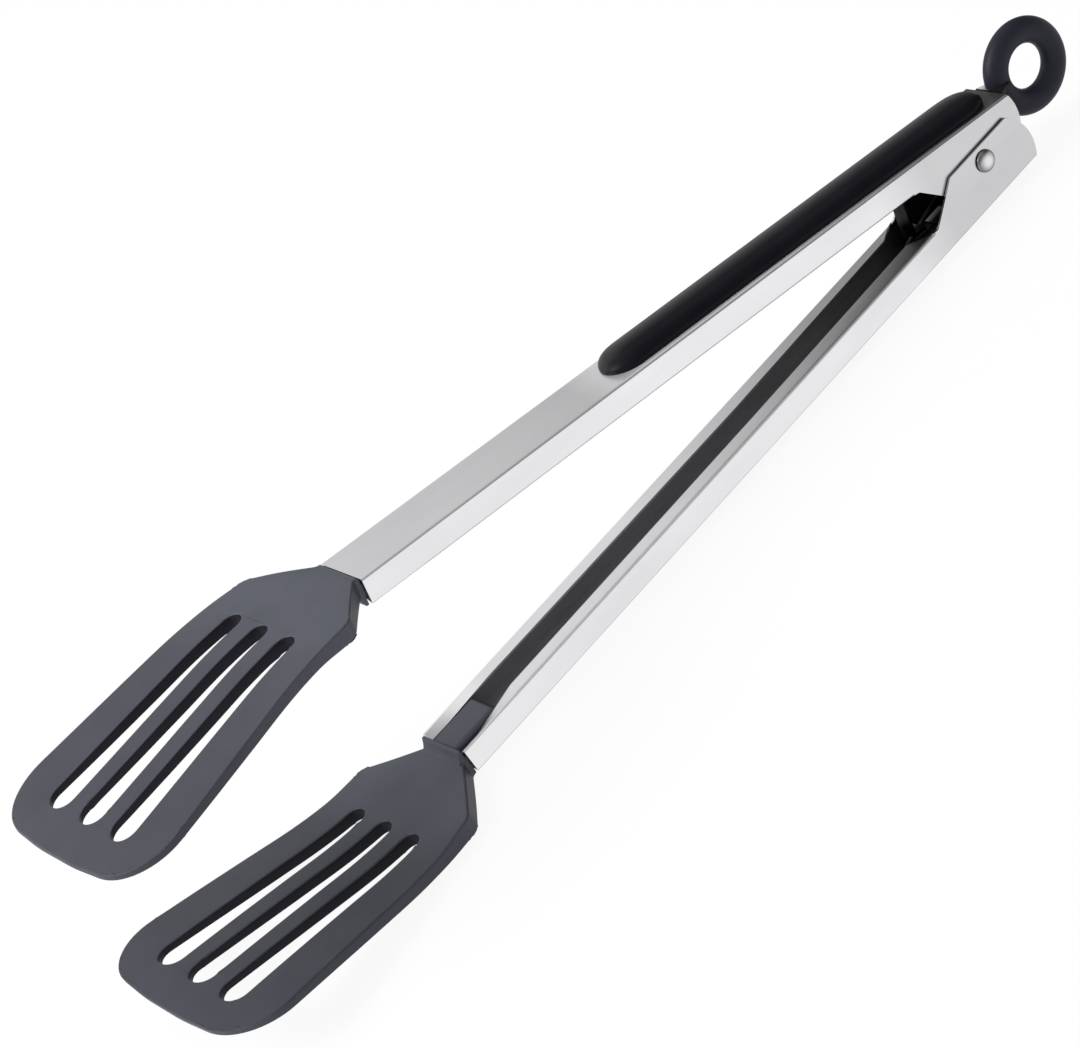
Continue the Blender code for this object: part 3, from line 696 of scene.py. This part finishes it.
def arm_shell(hinge_half_width):
    """The outer face of a pressed arm: one wall and its lip, mirrored, and the back."""
    def half_width(x):
        return hinge_half_width + (HEAD_HALF_WIDTH - hinge_half_width) * x / ARM_REACH

    mouth = ARM_REACH - LIP_MOUTH_LENGTH
    flare_middle = (LIP_GAP_HEAD_HALF + LIP_MOUTH_HALF) / 2
    stations = (
        (LIP_FULL, LIP_GAP_HALF, LIP_TILT),
        (LIP_LEVEL, LIP_GAP_LEVEL_HALF, 0),
        (mouth - LIP_FLARE_LENGTH, LIP_GAP_HEAD_HALF, 0),
        (mouth - LIP_FLARE_LENGTH / 2, flare_middle, -LIP_MOUTH_SINK / 2),
        (mouth, LIP_MOUTH_HALF, -LIP_MOUTH_SINK),
        (ARM_REACH, LIP_MOUTH_HALF, -LIP_MOUTH_SINK),
    )
    bm = bmesh.new()
    cheek = [bm.verts.new((x, half_width(x), z)) for x, z in cheek_outline()]
    top = bm.verts.new((LIP_START, half_width(LIP_START), BACK_HEIGHT))
    bm.faces.new(cheek + [top])
    middle_rear = bm.verts.new((cheek[0].co.x, 0, BACK_HEIGHT))
    middle = bm.verts.new((LIP_START, 0, BACK_HEIGHT))
    bm.faces.new((middle_rear, cheek[0], top, middle))
    edge, lip = cheek[-1], None
    for x, gap, tilt in stations:
        z = wall_edge(x)
        following = [
            bm.verts.new(place)
            for place in (
                (x, 0, BACK_HEIGHT),
                (x, half_width(x), BACK_HEIGHT),
                (x, half_width(x), z),
                (x, gap, z - tilt),
            )
        ]
        bm.faces.new((middle, top, following[1], following[0]))
        bm.faces.new((top, edge, following[2], following[1]))
        if lip:
            bm.faces.new((edge, lip, following[3], following[2]))
        else:
            bm.faces.new((edge, following[3], following[2]))
        middle, top, edge, lip = following
    other = bmesh.ops.duplicate(bm, geom=bm.verts[:] + bm.edges[:] + bm.faces[:])["geom"]
    bmesh.ops.scale(bm, vec=(1, -1, 1), verts=vertices_of(other))
    bmesh.ops.remove_doubles(bm, verts=bm.verts, dist=CLOSE)
    bmesh.ops.recalc_face_normals(bm, faces=bm.faces)
    bm.faces.ensure_lookup_table()
    if max(bm.faces, key=lambda face: face.calc_center_median().z).normal.z < 0:
        bmesh.ops.reverse_faces(bm, faces=bm.faces)
    for face in bm.faces:
        if face.normal.z < LIP_NORMAL:
            face.material_index = LIP_FINISH
    bends = [
        bend for bend in bm.edges
        if len(bend.link_faces) == 2 and bend.calc_face_angle() > BEND_ANGLE
    ]
    round_edges(bm, bends, BEND_RADIUS, BEND_STEPS)
    return bm


def make_arm(name, hinge_half_width, place, tilt, body):
    """A pressed arm: its shell gets the sheet's thickness, and an inner finish follows each outer one."""
    inside = inner_steel(name + "_inside", tilt)
    back = place.to_3x3() @ Vector((0, 0, 1))
    outside = satin_steel(name + "_steel", tilt, back, STEEL_HINGE_SHADE_SHARES, SATIN_ROUGHNESS)
    # The lips' tone is painted shade and reflection, darkest at the hinge
    lips = satin_steel(name + "_lip_steel", tilt, back, LIP_HINGE_SHADE_SHARES, LIP_ROUGHNESS)
    materials = (outside, inside, lips, inside)
    arm = add_piece(name + "_shell", arm_shell(hinge_half_width), place, materials, body)
    sheet = arm.modifiers.new("sheet", "SOLIDIFY")
    sheet.thickness = SHEET
    sheet.offset = -1
    sheet.use_even_offset = True
    sheet.material_offset = 1
    edges = arm.modifiers.new("edges", "BEVEL")
    edges.width = SHEET_EDGE
    edges.segments = EDGE_STEPS
    edges.limit_method = "ANGLE"
    edges.angle_limit = SHEET_EDGE_ANGLE
    even_shading(arm)
    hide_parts(name)


def make_catch(material):
    """The hook inside the lower arm's back that the lock's toe reaches under."""
    root = BACK_HEIGHT - SHEET / 2
    front = CATCH_REAR + CATCH_LENGTH
    outline = (
        (CATCH_REAR, root),
        (CATCH_REAR + CATCH_SHEET, root),
        (CATCH_REAR + CATCH_SHEET, CATCH_HEIGHT + CATCH_SHEET),
        (front, CATCH_HEIGHT + CATCH_SHEET),
        (front, CATCH_HEIGHT),
        (CATCH_REAR, CATCH_HEIGHT),
    )
    bm = bar(outline, CATCH_HALF_WIDTH)
    round_edges(bm, bm.edges[:], SHEET_EDGE, EDGE_STEPS)
    add_piece("lower_arm_catch", bm, LOWER, (material,), "lower")


def make_grip(name, place, body, half_width, edge_radius, rise, crown, material):
    """A round outline, drawn out to the grip's length, raised, rounded, crowned and lowered at its ends."""
    ends = (
        (GRIP_FRONT - GRIP_FRONT_FALL, GRIP_FRONT, GRIP_FRONT_LOW_SHARE),
        (GRIP_REAR_FALL - GRIP_REAR, -GRIP_REAR, GRIP_REAR_LOW_SHARE),
    )
    bm = bmesh.new()
    bmesh.ops.create_circle(bm, cap_ends=True, radius=1, segments=4 * CURVE_STEPS)
    front = [vert for vert in bm.verts if vert.co.x > 0]
    rear = [vert for vert in bm.verts if vert.co.x <= 0]
    bmesh.ops.scale(bm, vec=(GRIP_FRONT_LENGTH, half_width, 1), verts=front)
    bmesh.ops.scale(bm, vec=(GRIP_REAR_LENGTH, half_width, 1), verts=rear)
    bmesh.ops.translate(bm, vec=(GRIP_FRONT - GRIP_FRONT_LENGTH, 0, 0), verts=front)
    bmesh.ops.translate(bm, vec=(GRIP_REAR_LENGTH - GRIP_REAR, 0, 0), verts=rear)
    bmesh.ops.translate(bm, vec=(0, 0, BACK_HEIGHT + GRIP_SEAT), verts=bm.verts)
    draw_out(bm, bm.faces[:], (0, 0, rise - GRIP_SEAT))
    level = BACK_HEIGHT + rise
    rim = [edge for edge in bm.edges if all(abs(v.co.z - level) < CLOSE for v in edge.verts)]
    round_edges(bm, rim, edge_radius, 2 * BEND_STEPS)
    for step in range(GRIP_STRIPS):
        across = half_width * (2 * (step + 0.5) / GRIP_STRIPS - 1)
        share = math.sin(math.pi / 2 * step / GRIP_STRIPS)
        cut(bm, (0, across, 0), (0, 1, 0))
        for start, end, _ in ends:
            cut(bm, (start + (end - start) * share, 0, 0), (1, 0, 0))
    for vert in bm.verts:
        height = vert.co.z - BACK_HEIGHT
        height -= height / rise * crown * (vert.co.y / half_width) ** 2
        for start, end, low_share in ends:
            share = min(max((vert.co.x - start) / (end - start), 0), 1)
            height *= low_share + (1 - low_share) * math.sqrt(1 - share ** 2)
        vert.co.z = BACK_HEIGHT + height
    bmesh.ops.recalc_face_normals(bm, faces=bm.faces)
    grip = add_piece(name + "_pad", bm, place, (material,), body)
    grip.data.set_sharp_from_angle(angle=CREASE_ANGLE)
    even_shading(grip)
    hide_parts(name)


def blade_side(x):
    """Height of a blade's outer face and its thickness at a distance from the pivot."""
    place = min(max((x - NECK_START) / BLADE_LENGTH, 0), 1)
    rows = BLADE_SIDE_SHARES
    index = 0
    while index < len(rows) - 2 and rows[index + 1][0] < place:
        index += 1
    a, b = rows[index], rows[index + 1]
    before, after = rows[max(index - 1, 0)], rows[min(index + 2, len(rows) - 1)]
    t = (place - a[0]) / (b[0] - a[0])
    values = []
    for column in (1, 2):
        slope_a = (b[column] - before[column]) / (b[0] - before[0]) * (b[0] - a[0])
        slope_b = (after[column] - a[column]) / (after[0] - a[0]) * (b[0] - a[0])
        values.append(
            a[column] * (2 * t ** 3 - 3 * t ** 2 + 1) + slope_a * (t ** 3 - 2 * t ** 2 + t)
            + b[column] * (3 * t ** 2 - 2 * t ** 3) + slope_b * (t ** 3 - t ** 2)
        )
    return BLADE_CREST - BLADE_FALL * values[0], BLADE_THICKNESS * values[1]


def add_outline(bm, points):
    """A closed loop of edges through points, flat at height zero."""
    verts = [bm.verts.new((x, y, 0)) for x, y in points]
    for index in range(len(verts)):
        bm.edges.new((verts[index - 1], verts[index]))


def blade_outline():
    """A blade seen from its back: neck, shoulders, widening sides, round heels, tip."""
    heel = TIP_REACH - TIP_SLOPE_SHARE * (HEEL_HALF_WIDTH - TIP_FLAT_HALF_WIDTH)
    rows = (
        (NECK_START, NECK_HALF_WIDTH, 0),
        (NECK_START + NECK_LENGTH, NECK_HALF_WIDTH, NECK_FILLET),
        (NECK_START + SHOULDER_REACH, SHOULDER_HALF_WIDTH, SHOULDER_RADIUS),
        (heel, HEEL_HALF_WIDTH, HEEL_RADIUS),
        (TIP_REACH, TIP_FLAT_HALF_WIDTH, TIP_ROUND),
    )
    corners = [Vector((x, y)) for x, y, _ in rows] + [Vector((TIP_REACH, -TIP_FLAT_HALF_WIDTH))]
    half = [corners[0]]
    for index in range(1, len(rows)):
        before, corner, after = corners[index - 1:index + 2]
        half += round_corner(before, corner, after, rows[index][2], CURVE_STEPS)
    return half + [Vector((point.x, -point.y)) for point in reversed(half)]


def slot_outline(near_y, far_y):
    """Two round ends, the wider one at the tip, and the straight sides between them."""
    near = Vector((NECK_START + SLOT_START + SLOT_NARROW_RADIUS, near_y))
    far = Vector((TIP_REACH - SLOT_TIP_MARGIN - SLOT_WIDE_RADIUS, far_y))
    line = far - near
    heading = math.atan2(line.y, line.x)
    lean = math.asin((SLOT_WIDE_RADIUS - SLOT_NARROW_RADIUS) / line.length)
    ends = (
        (far, SLOT_WIDE_RADIUS, heading - math.pi / 2 - lean, math.pi + 2 * lean),
        (near, SLOT_NARROW_RADIUS, heading + math.pi / 2 + lean, math.pi - 2 * lean),
    )
    points = []
    for centre, radius, start, sweep in ends:
        for step in range(CURVE_STEPS + 1):
            angle = start + sweep * step / CURVE_STEPS
            points.append(centre + radius * Vector((math.cos(angle), math.sin(angle))))
    return points


def blade_plate():
    """A flat plate with three slots, given its thickness, edges and bend in turn."""
    bm = bmesh.new()
    add_outline(bm, blade_outline())
    for side in (-1, 0, 1):
        add_outline(bm, slot_outline(side * SLOT_NEAR_SPREAD, side * SLOT_FAR_SPREAD))
    bmesh.ops.triangle_fill(bm, use_beauty=True, edges=bm.edges[:], normal=(0, 0, 1))
    for step in range(1, BLADE_STRIPS):
        x = NECK_START + BLADE_LENGTH * step / BLADE_STRIPS
        cut(bm, (x, 0, 0), (1, 0, 0))
    draw_out(bm, bm.faces[:], (0, 0, -BLADE_THICKNESS))
    bmesh.ops.recalc_face_normals(bm, faces=bm.faces)
    for level, width in ((0, OUTER_RIM), (-BLADE_THICKNESS, INNER_RIM)):
        rim = [
            edge for edge in bm.edges
            if all(abs(vert.co.z - level) < CLOSE for vert in edge.verts)
            and edge.calc_face_angle() > RIM_ANGLE
        ]
        round_edges(bm, rim, width, BEND_STEPS // 2)
    slot_zone = (SHOULDER_HALF_WIDTH + SLOT_FAR_SPREAD + SLOT_WIDE_RADIUS) / 2
    for face in bm.faces:
        middle = face.calc_center_median()
        in_slot = middle.x > NECK_START + SHOULDER_REACH and middle.x < TIP_REACH - SLOT_TIP_MARGIN / 2
        if in_slot and abs(middle.y) < slot_zone and abs(face.normal.z) < WALL_NORMAL:
            # The slot walls take the nylon with painted shade
            face.material_index = SLOT_WALL_SHADE_INDEX
    for vert in bm.verts:
        outer, thickness = blade_side(vert.co.x)
        vert.co.z = outer + vert.co.z * thickness / BLADE_THICKNESS
    return bm


def bar(outline, half_width):
    """A bar across the arm, from an outline in (x, z)."""
    bm = bmesh.new()
    face = bm.faces.new([bm.verts.new((x, -half_width, z)) for x, z in outline])
    draw_out(bm, [face], (0, 2 * half_width, 0))
    bmesh.ops.recalc_face_normals(bm, faces=bm.faces)
    return bm


def neck_block():
    """The foot against the arm's end and the hollow ramp from it up to the blade."""
    foot = wall_edge(ARM_REACH)
    outer, thickness = blade_side(NECK_START + NECK_FOOT_LENGTH + NECK_RAMP_LENGTH)
    landing = outer - thickness
    start = Vector((NECK_START + NECK_FOOT_LENGTH, foot))
    end = Vector((start.x + NECK_RAMP_LENGTH, landing + SHEET))
    bend = Vector((start.x + NECK_RAMP_LENGTH / 3, landing))
    top = BLADE_CREST - BLADE_THICKNESS / 2
    ramp = []
    for step in range(CURVE_STEPS + 1):
        t = step / CURVE_STEPS
        ramp.append(start * (1 - t) ** 2 + bend * 2 * t * (1 - t) + end * t ** 2)
    plug = ARM_REACH - PLUG_LENGTH
    plug_foot = foot + LIP_MOUTH_SINK + SHEET
    rear = [(plug, top - SHEET), (plug, plug_foot), (NECK_START, plug_foot), (NECK_START, foot)]
    outline = rear + ramp + [(end.x, top), (NECK_START, top), (NECK_START, top - SHEET)]
    bm = bar(outline, NECK_HALF_WIDTH - NECK_EDGE)
    sharp = [edge for edge in bm.edges if edge.calc_face_angle() > RIM_ANGLE]
    round_edges(bm, sharp, NECK_EDGE, EDGE_STEPS)
    return bm


def tongue_block():
    """The tongue that reaches into the channel, its inner end sloped and its edges round."""
    low = wall_edge(ARM_REACH) + TONGUE_SINK
    high = BACK_HEIGHT - 2 * SHEET
    rear = ARM_REACH - TONGUE_LENGTH
    front = NECK_START + NECK_FOOT_LENGTH / 2
    slope = TONGUE_HALF_WIDTH / 2
    bm = bar([(rear, high), (rear + slope, low), (front, low), (front, high)], TONGUE_HALF_WIDTH)
    long_edges = [edge for edge in bm.edges if edge.verts[0].co.z < high and edge.verts[1].co.z < high]
    round_edges(bm, long_edges, TONGUE_EDGE, 2 * EDGE_STEPS)
    return bm


def join(piece, bm, place):
    """Welds a closed shape onto a piece and keeps one clean surface."""
    part = new_object(piece.name + "_part", bm, place)
    weld = piece.modifiers.new("weld", "BOOLEAN")
    weld.operation = "UNION"
    weld.solver = "EXACT"
    weld.object = part
    bpy.context.view_layer.update()
    joined = piece.evaluated_get(bpy.context.evaluated_depsgraph_get())
    piece.data = bpy.data.meshes.new_from_object(joined)
    piece.modifiers.clear()
    bpy.data.objects.remove(part)


def make_blade(name, place, body, materials):
    """A blade with its neck and tongue, moulded in one."""
    blade = add_piece(name + "_moulding", blade_plate(), place, materials, body)
    join(blade, neck_block(), place)
    join(blade, tongue_block(), place)
    blade.data.set_sharp_from_angle(angle=BLADE_CREASE_ANGLE)
    even_shading(blade)
    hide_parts(name)


def make_ring(material):
    """An oval section, spun round the ring's middle; the ring hangs a little askew."""
    middle = (RING_LOW + RING_HIGH) / 2 + Vector(RING_SHIFT)
    turn = Matrix.Rotation(RING_TURN, 4, "Z") @ Matrix.Rotation(RING_LEAN, 4, "X")
    bm = bmesh.new()
    bmesh.ops.create_circle(bm, radius=1, segments=2 * CURVE_STEPS)
    bmesh.ops.scale(bm, vec=(RING_TUBE_RADIUS, RING_HALF_DEPTH, 1), verts=bm.verts)
    bmesh.ops.translate(bm, vec=(RING_RADIUS, 0, 0), verts=bm.verts)
    spin_round(bm, 6 * CURVE_STEPS)
    bmesh.ops.recalc_face_normals(bm, faces=bm.faces)
    place = Matrix.Translation(middle) @ turn
    ring = add_piece("ring_moulding", bm, place, (material,), "lock")
    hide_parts("pull_ring")


def make_rivet(material):
    """A shank with a round dome on each end, spun round the pivot."""
    cheek = RIVET_HIGH.y - RIVET_HEAD_HEIGHT
    points = [(SHANK_RADIUS, 0), (SHANK_RADIUS, cheek), (RIVET_HEAD_RADIUS * RIVET_FOOT_SHARE, cheek)]
    for step in range(BEND_STEPS * 2 + 1):
        angle = math.pi / 2 * step / (BEND_STEPS * 2)
        points.append((RIVET_HEAD_RADIUS * math.cos(angle), cheek + RIVET_HEAD_HEIGHT * math.sin(angle)))
    bm = bmesh.new()
    verts = [bm.verts.new((radius, y, 0)) for radius, y in points]
    for first, second in zip(verts, verts[1:]):
        bm.edges.new((first, second))
    bmesh.ops.mirror(bm, geom=bm.verts[:] + bm.edges[:], axis="Y", merge_dist=CLOSE)
    spin_round(bm, 4 * CURVE_STEPS)
    bmesh.ops.remove_doubles(bm, verts=bm.verts, dist=CLOSE / 10)
    bmesh.ops.recalc_face_normals(bm, faces=bm.faces)
    rivet = add_piece("rivet_turned", bm, Matrix.Translation(PIVOT), (material,), "upper")
    rivet.data.set_sharp_from_angle(angle=CREASE_ANGLE)
    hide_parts("pivot_rivet")


def leg_angle(end, side):
    """Where round the coil a leg that ends at a place leaves it."""
    return math.atan2(end.y, end.x) + side * math.acos(COIL_RADIUS / end.length)


def make_spring(material):
    """A coil spun round the rivet, with a leg drawn out of each end; the legs follow the arms."""
    seat = BACK_HEIGHT - SHEET - LEG_PLAY - WIRE_RADIUS
    lower_end = Vector((LOWER_LEG_REACH, -seat))
    upper_end = Vector((UPPER_LEG_REACH, seat - LEG_PLAY - STRAP_THICKNESS))
    upper_end.rotate(Matrix.Rotation(OPEN_ANGLE, 2))
    start = leg_angle(lower_end, -1)
    end = leg_angle(upper_end, 1) - 2 * math.pi * (COIL_TURNS + 1)
    steps = math.ceil((start - end) / (2 * math.pi) * 2 * CURVE_STEPS)
    bm = bmesh.new()
    bmesh.ops.create_circle(bm, radius=WIRE_RADIUS, segments=WIRE_SIDES)
    bmesh.ops.translate(bm, vec=(COIL_RADIUS, -COIL_HALF_LENGTH, 0), verts=bm.verts)
    bmesh.ops.rotate(bm, cent=(0, 0, 0), matrix=Matrix.Rotation(-start, 3, "Y"), verts=bm.verts)
    first = bm.edges[:]
    spun = bmesh.ops.spin(
        bm, geom=bm.verts[:] + bm.edges[:], cent=(0, 0, 0), axis=(0, 1, 0),
        dvec=(0, 2 * COIL_HALF_LENGTH / steps, 0), angle=start - end, steps=steps,
    )
    last = [part for part in spun["geom_last"] if isinstance(part, bmesh.types.BMEdge)]
    for ring, tip, side in ((first, lower_end, -1), (last, upper_end, 1)):
        drawn = bmesh.ops.extrude_edge_only(bm, edges=ring)["geom"]
        moved = vertices_of(drawn)
        middle = sum((vert.co for vert in moved), Vector()) / len(moved)
        leg = Vector((tip.x, side * COIL_HALF_LENGTH, tip.y)) - middle
        bmesh.ops.translate(bm, vec=leg, verts=moved)
    bmesh.ops.holes_fill(bm, edges=bm.edges[:], sides=WIRE_SIDES)
    bmesh.ops.recalc_face_normals(bm, faces=bm.faces)
    place = Matrix.Translation(PIVOT)
    spring = add_piece("spring_wire_coil", bm, place, (material,), None)
    spring.data.set_sharp_from_angle(angle=CREASE_ANGLE)
    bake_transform(spring)
    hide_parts("opening_spring")


def dress_node(name, material):
    """Gives a node of the frame a finish of its own."""
    node = frame["nodes"][name]
    node.data.materials.clear()
    node.data.materials.append(material)


def make_floor():
    """A white floor that shows as white to the eye and in the metal, with a soft shadow."""
    bm = bmesh.new()
    bmesh.ops.create_grid(bm, x_segments=1, y_segments=1, size=FLOOR_SIZE)
    floor = new_object("floor", bm, Matrix())
    material, nodes, links, shader = node_tree("white floor")
    nodes.remove(shader)
    plain = nodes.new("ShaderNodeBsdfDiffuse")
    plain.inputs["Color"].default_value = (FLOOR_TONE, FLOOR_TONE, FLOOR_TONE, 1)
    glow = nodes.new("ShaderNodeEmission")
    path = nodes.new("ShaderNodeLightPath")
    seen = path.outputs["Is Camera Ray"]
    for ray in ("Is Glossy Ray", "Is Transmission Ray"):
        seen = combine(nodes, links, "MAXIMUM", seen, path.outputs[ray])
    share = nodes.new("ShaderNodeMath")
    share.operation = "MULTIPLY"
    share.inputs[1].default_value = FLOOR_GLOW_SHARE
    mix = nodes.new("ShaderNodeMixShader")
    links.new(seen, share.inputs[0])
    links.new(share.outputs[0], mix.inputs["Fac"])
    links.new(plain.outputs["BSDF"], mix.inputs[1])
    links.new(glow.outputs["Emission"], mix.inputs[2])
    links.new(mix.outputs["Shader"], nodes["Material Output"].inputs["Surface"])
    floor.data.materials.append(material)


def make_world():
    """Soft studio light: white overhead, dimmer low, dark at the left and near the camera."""
    world = bpy.data.worlds.new("studio")
    bpy.context.scene.world = world
    world.use_nodes = True
    nodes, links = world.node_tree.nodes, world.node_tree.links
    direction = nodes.new("ShaderNodeTexCoord").outputs["Generated"]
    shares = []
    for axis, start, end, start_share, end_share in SKY_SHARES:
        along = one_axis(nodes, links, direction, axis)
        part = remap(nodes, links, along, start, end, start_share, end_share)
        part.interpolation_type = "SMOOTHSTEP"
        shares.append(part.outputs["Result"])
    light = shares[0]
    for share in shares[1:]:
        light = combine(nodes, links, "MULTIPLY", light, share)
    links.new(light, nodes["Background"].inputs["Color"])
    nodes["Background"].inputs["Strength"].default_value = 1


def make_lamp():
    """One soft round lamp, high beyond the blades on the far side and turned to the object."""
    data = bpy.data.lights.new("key", "AREA")
    data.shape = "DISK"
    data.size = LAMP_SIZE
    data.energy = LAMP_POWER
    lamp = bpy.data.objects.new("key", data)
    lamp.location = LAMP_PLACE
    lamp.rotation_euler = (-Vector(LAMP_PLACE)).to_track_quat("-Z", "Y").to_euler()
    bpy.context.scene.collection.objects.link(lamp)


def make_camera():
    """The photograph's camera, worked out from the two equal arms and blades."""
    data = bpy.data.cameras.new("camera")
    data.sensor_width = CAMERA_SENSOR
    data.lens = CAMERA_LENS
    data.shift_x = CAMERA_SHIFT
    data.shift_y = -CAMERA_SHIFT
    data.clip_start = CAMERA_NEAR
    data.clip_end = CAMERA_FAR
    camera = bpy.data.objects.new("camera", data)
    camera.location = PIVOT + Vector(CAMERA_PLACE)
    camera.rotation_euler = Euler([math.radians(angle) for angle in CAMERA_DEGREES])
    bpy.context.scene.collection.objects.link(camera)
    bpy.context.scene.camera = camera


nylon = blade_nylon()
# Nylon darkened to paint the shade inside the slots
nylon_slot_shade = moulded(
    "grey_nylon_slot_shade", SLOT_SHADE_COLOURS, PLASTIC_ROUGHNESS, SLOT_WALL_GLOSS, NYLON_GRAIN_SCALE,
)[0]
soft_black = grip_plastic()
ring_black = moulded(
    "black_ring_plastic", RING_COLOURS, PLASTIC_ROUGHNESS, RING_GLOSS, BLACK_GRAIN_SCALE,
)[0]
slide_metal = slide_steel()
spring_wire = small_steel("spring_wire", WIRE_CLOUD_SCALE, WIRE_COLOURS, WIRE_ROUGHNESS)[0]

make_arm("lower_arm", OUTER_HINGE_HALF_WIDTH, LOWER, 0, "lower")
# The catch takes the slide's steel with its painted shade
make_catch(slide_metal)
make_arm("upper_arm", INNER_HINGE_HALF_WIDTH, UPPER, OPEN_ANGLE, "upper")
make_grip(
    "lower_grip", LOWER, "lower",
    LOWER_GRIP_HALF_WIDTH, LOWER_GRIP_EDGE, LOWER_GRIP_RISE, LOWER_GRIP_CROWN, soft_black,
)
make_grip(
    "upper_grip", UPPER, "upper",
    UPPER_GRIP_HALF_WIDTH, UPPER_GRIP_EDGE, UPPER_GRIP_RISE, UPPER_GRIP_CROWN, soft_black,
)
make_blade("lower_blade", LOWER, "lower", (nylon, nylon_slot_shade))
make_blade("upper_blade", UPPER, "upper", (nylon, nylon_slot_shade))
make_ring(ring_black)
make_rivet(rivet_steel())
dress_node("lock_slide", slide_metal)
make_spring(spring_wire)

make_floor()
make_world()
make_lamp()
make_camera()
bpy.context.scene.view_settings.view_transform = "Standard"

bpy.context.view_layer.update()
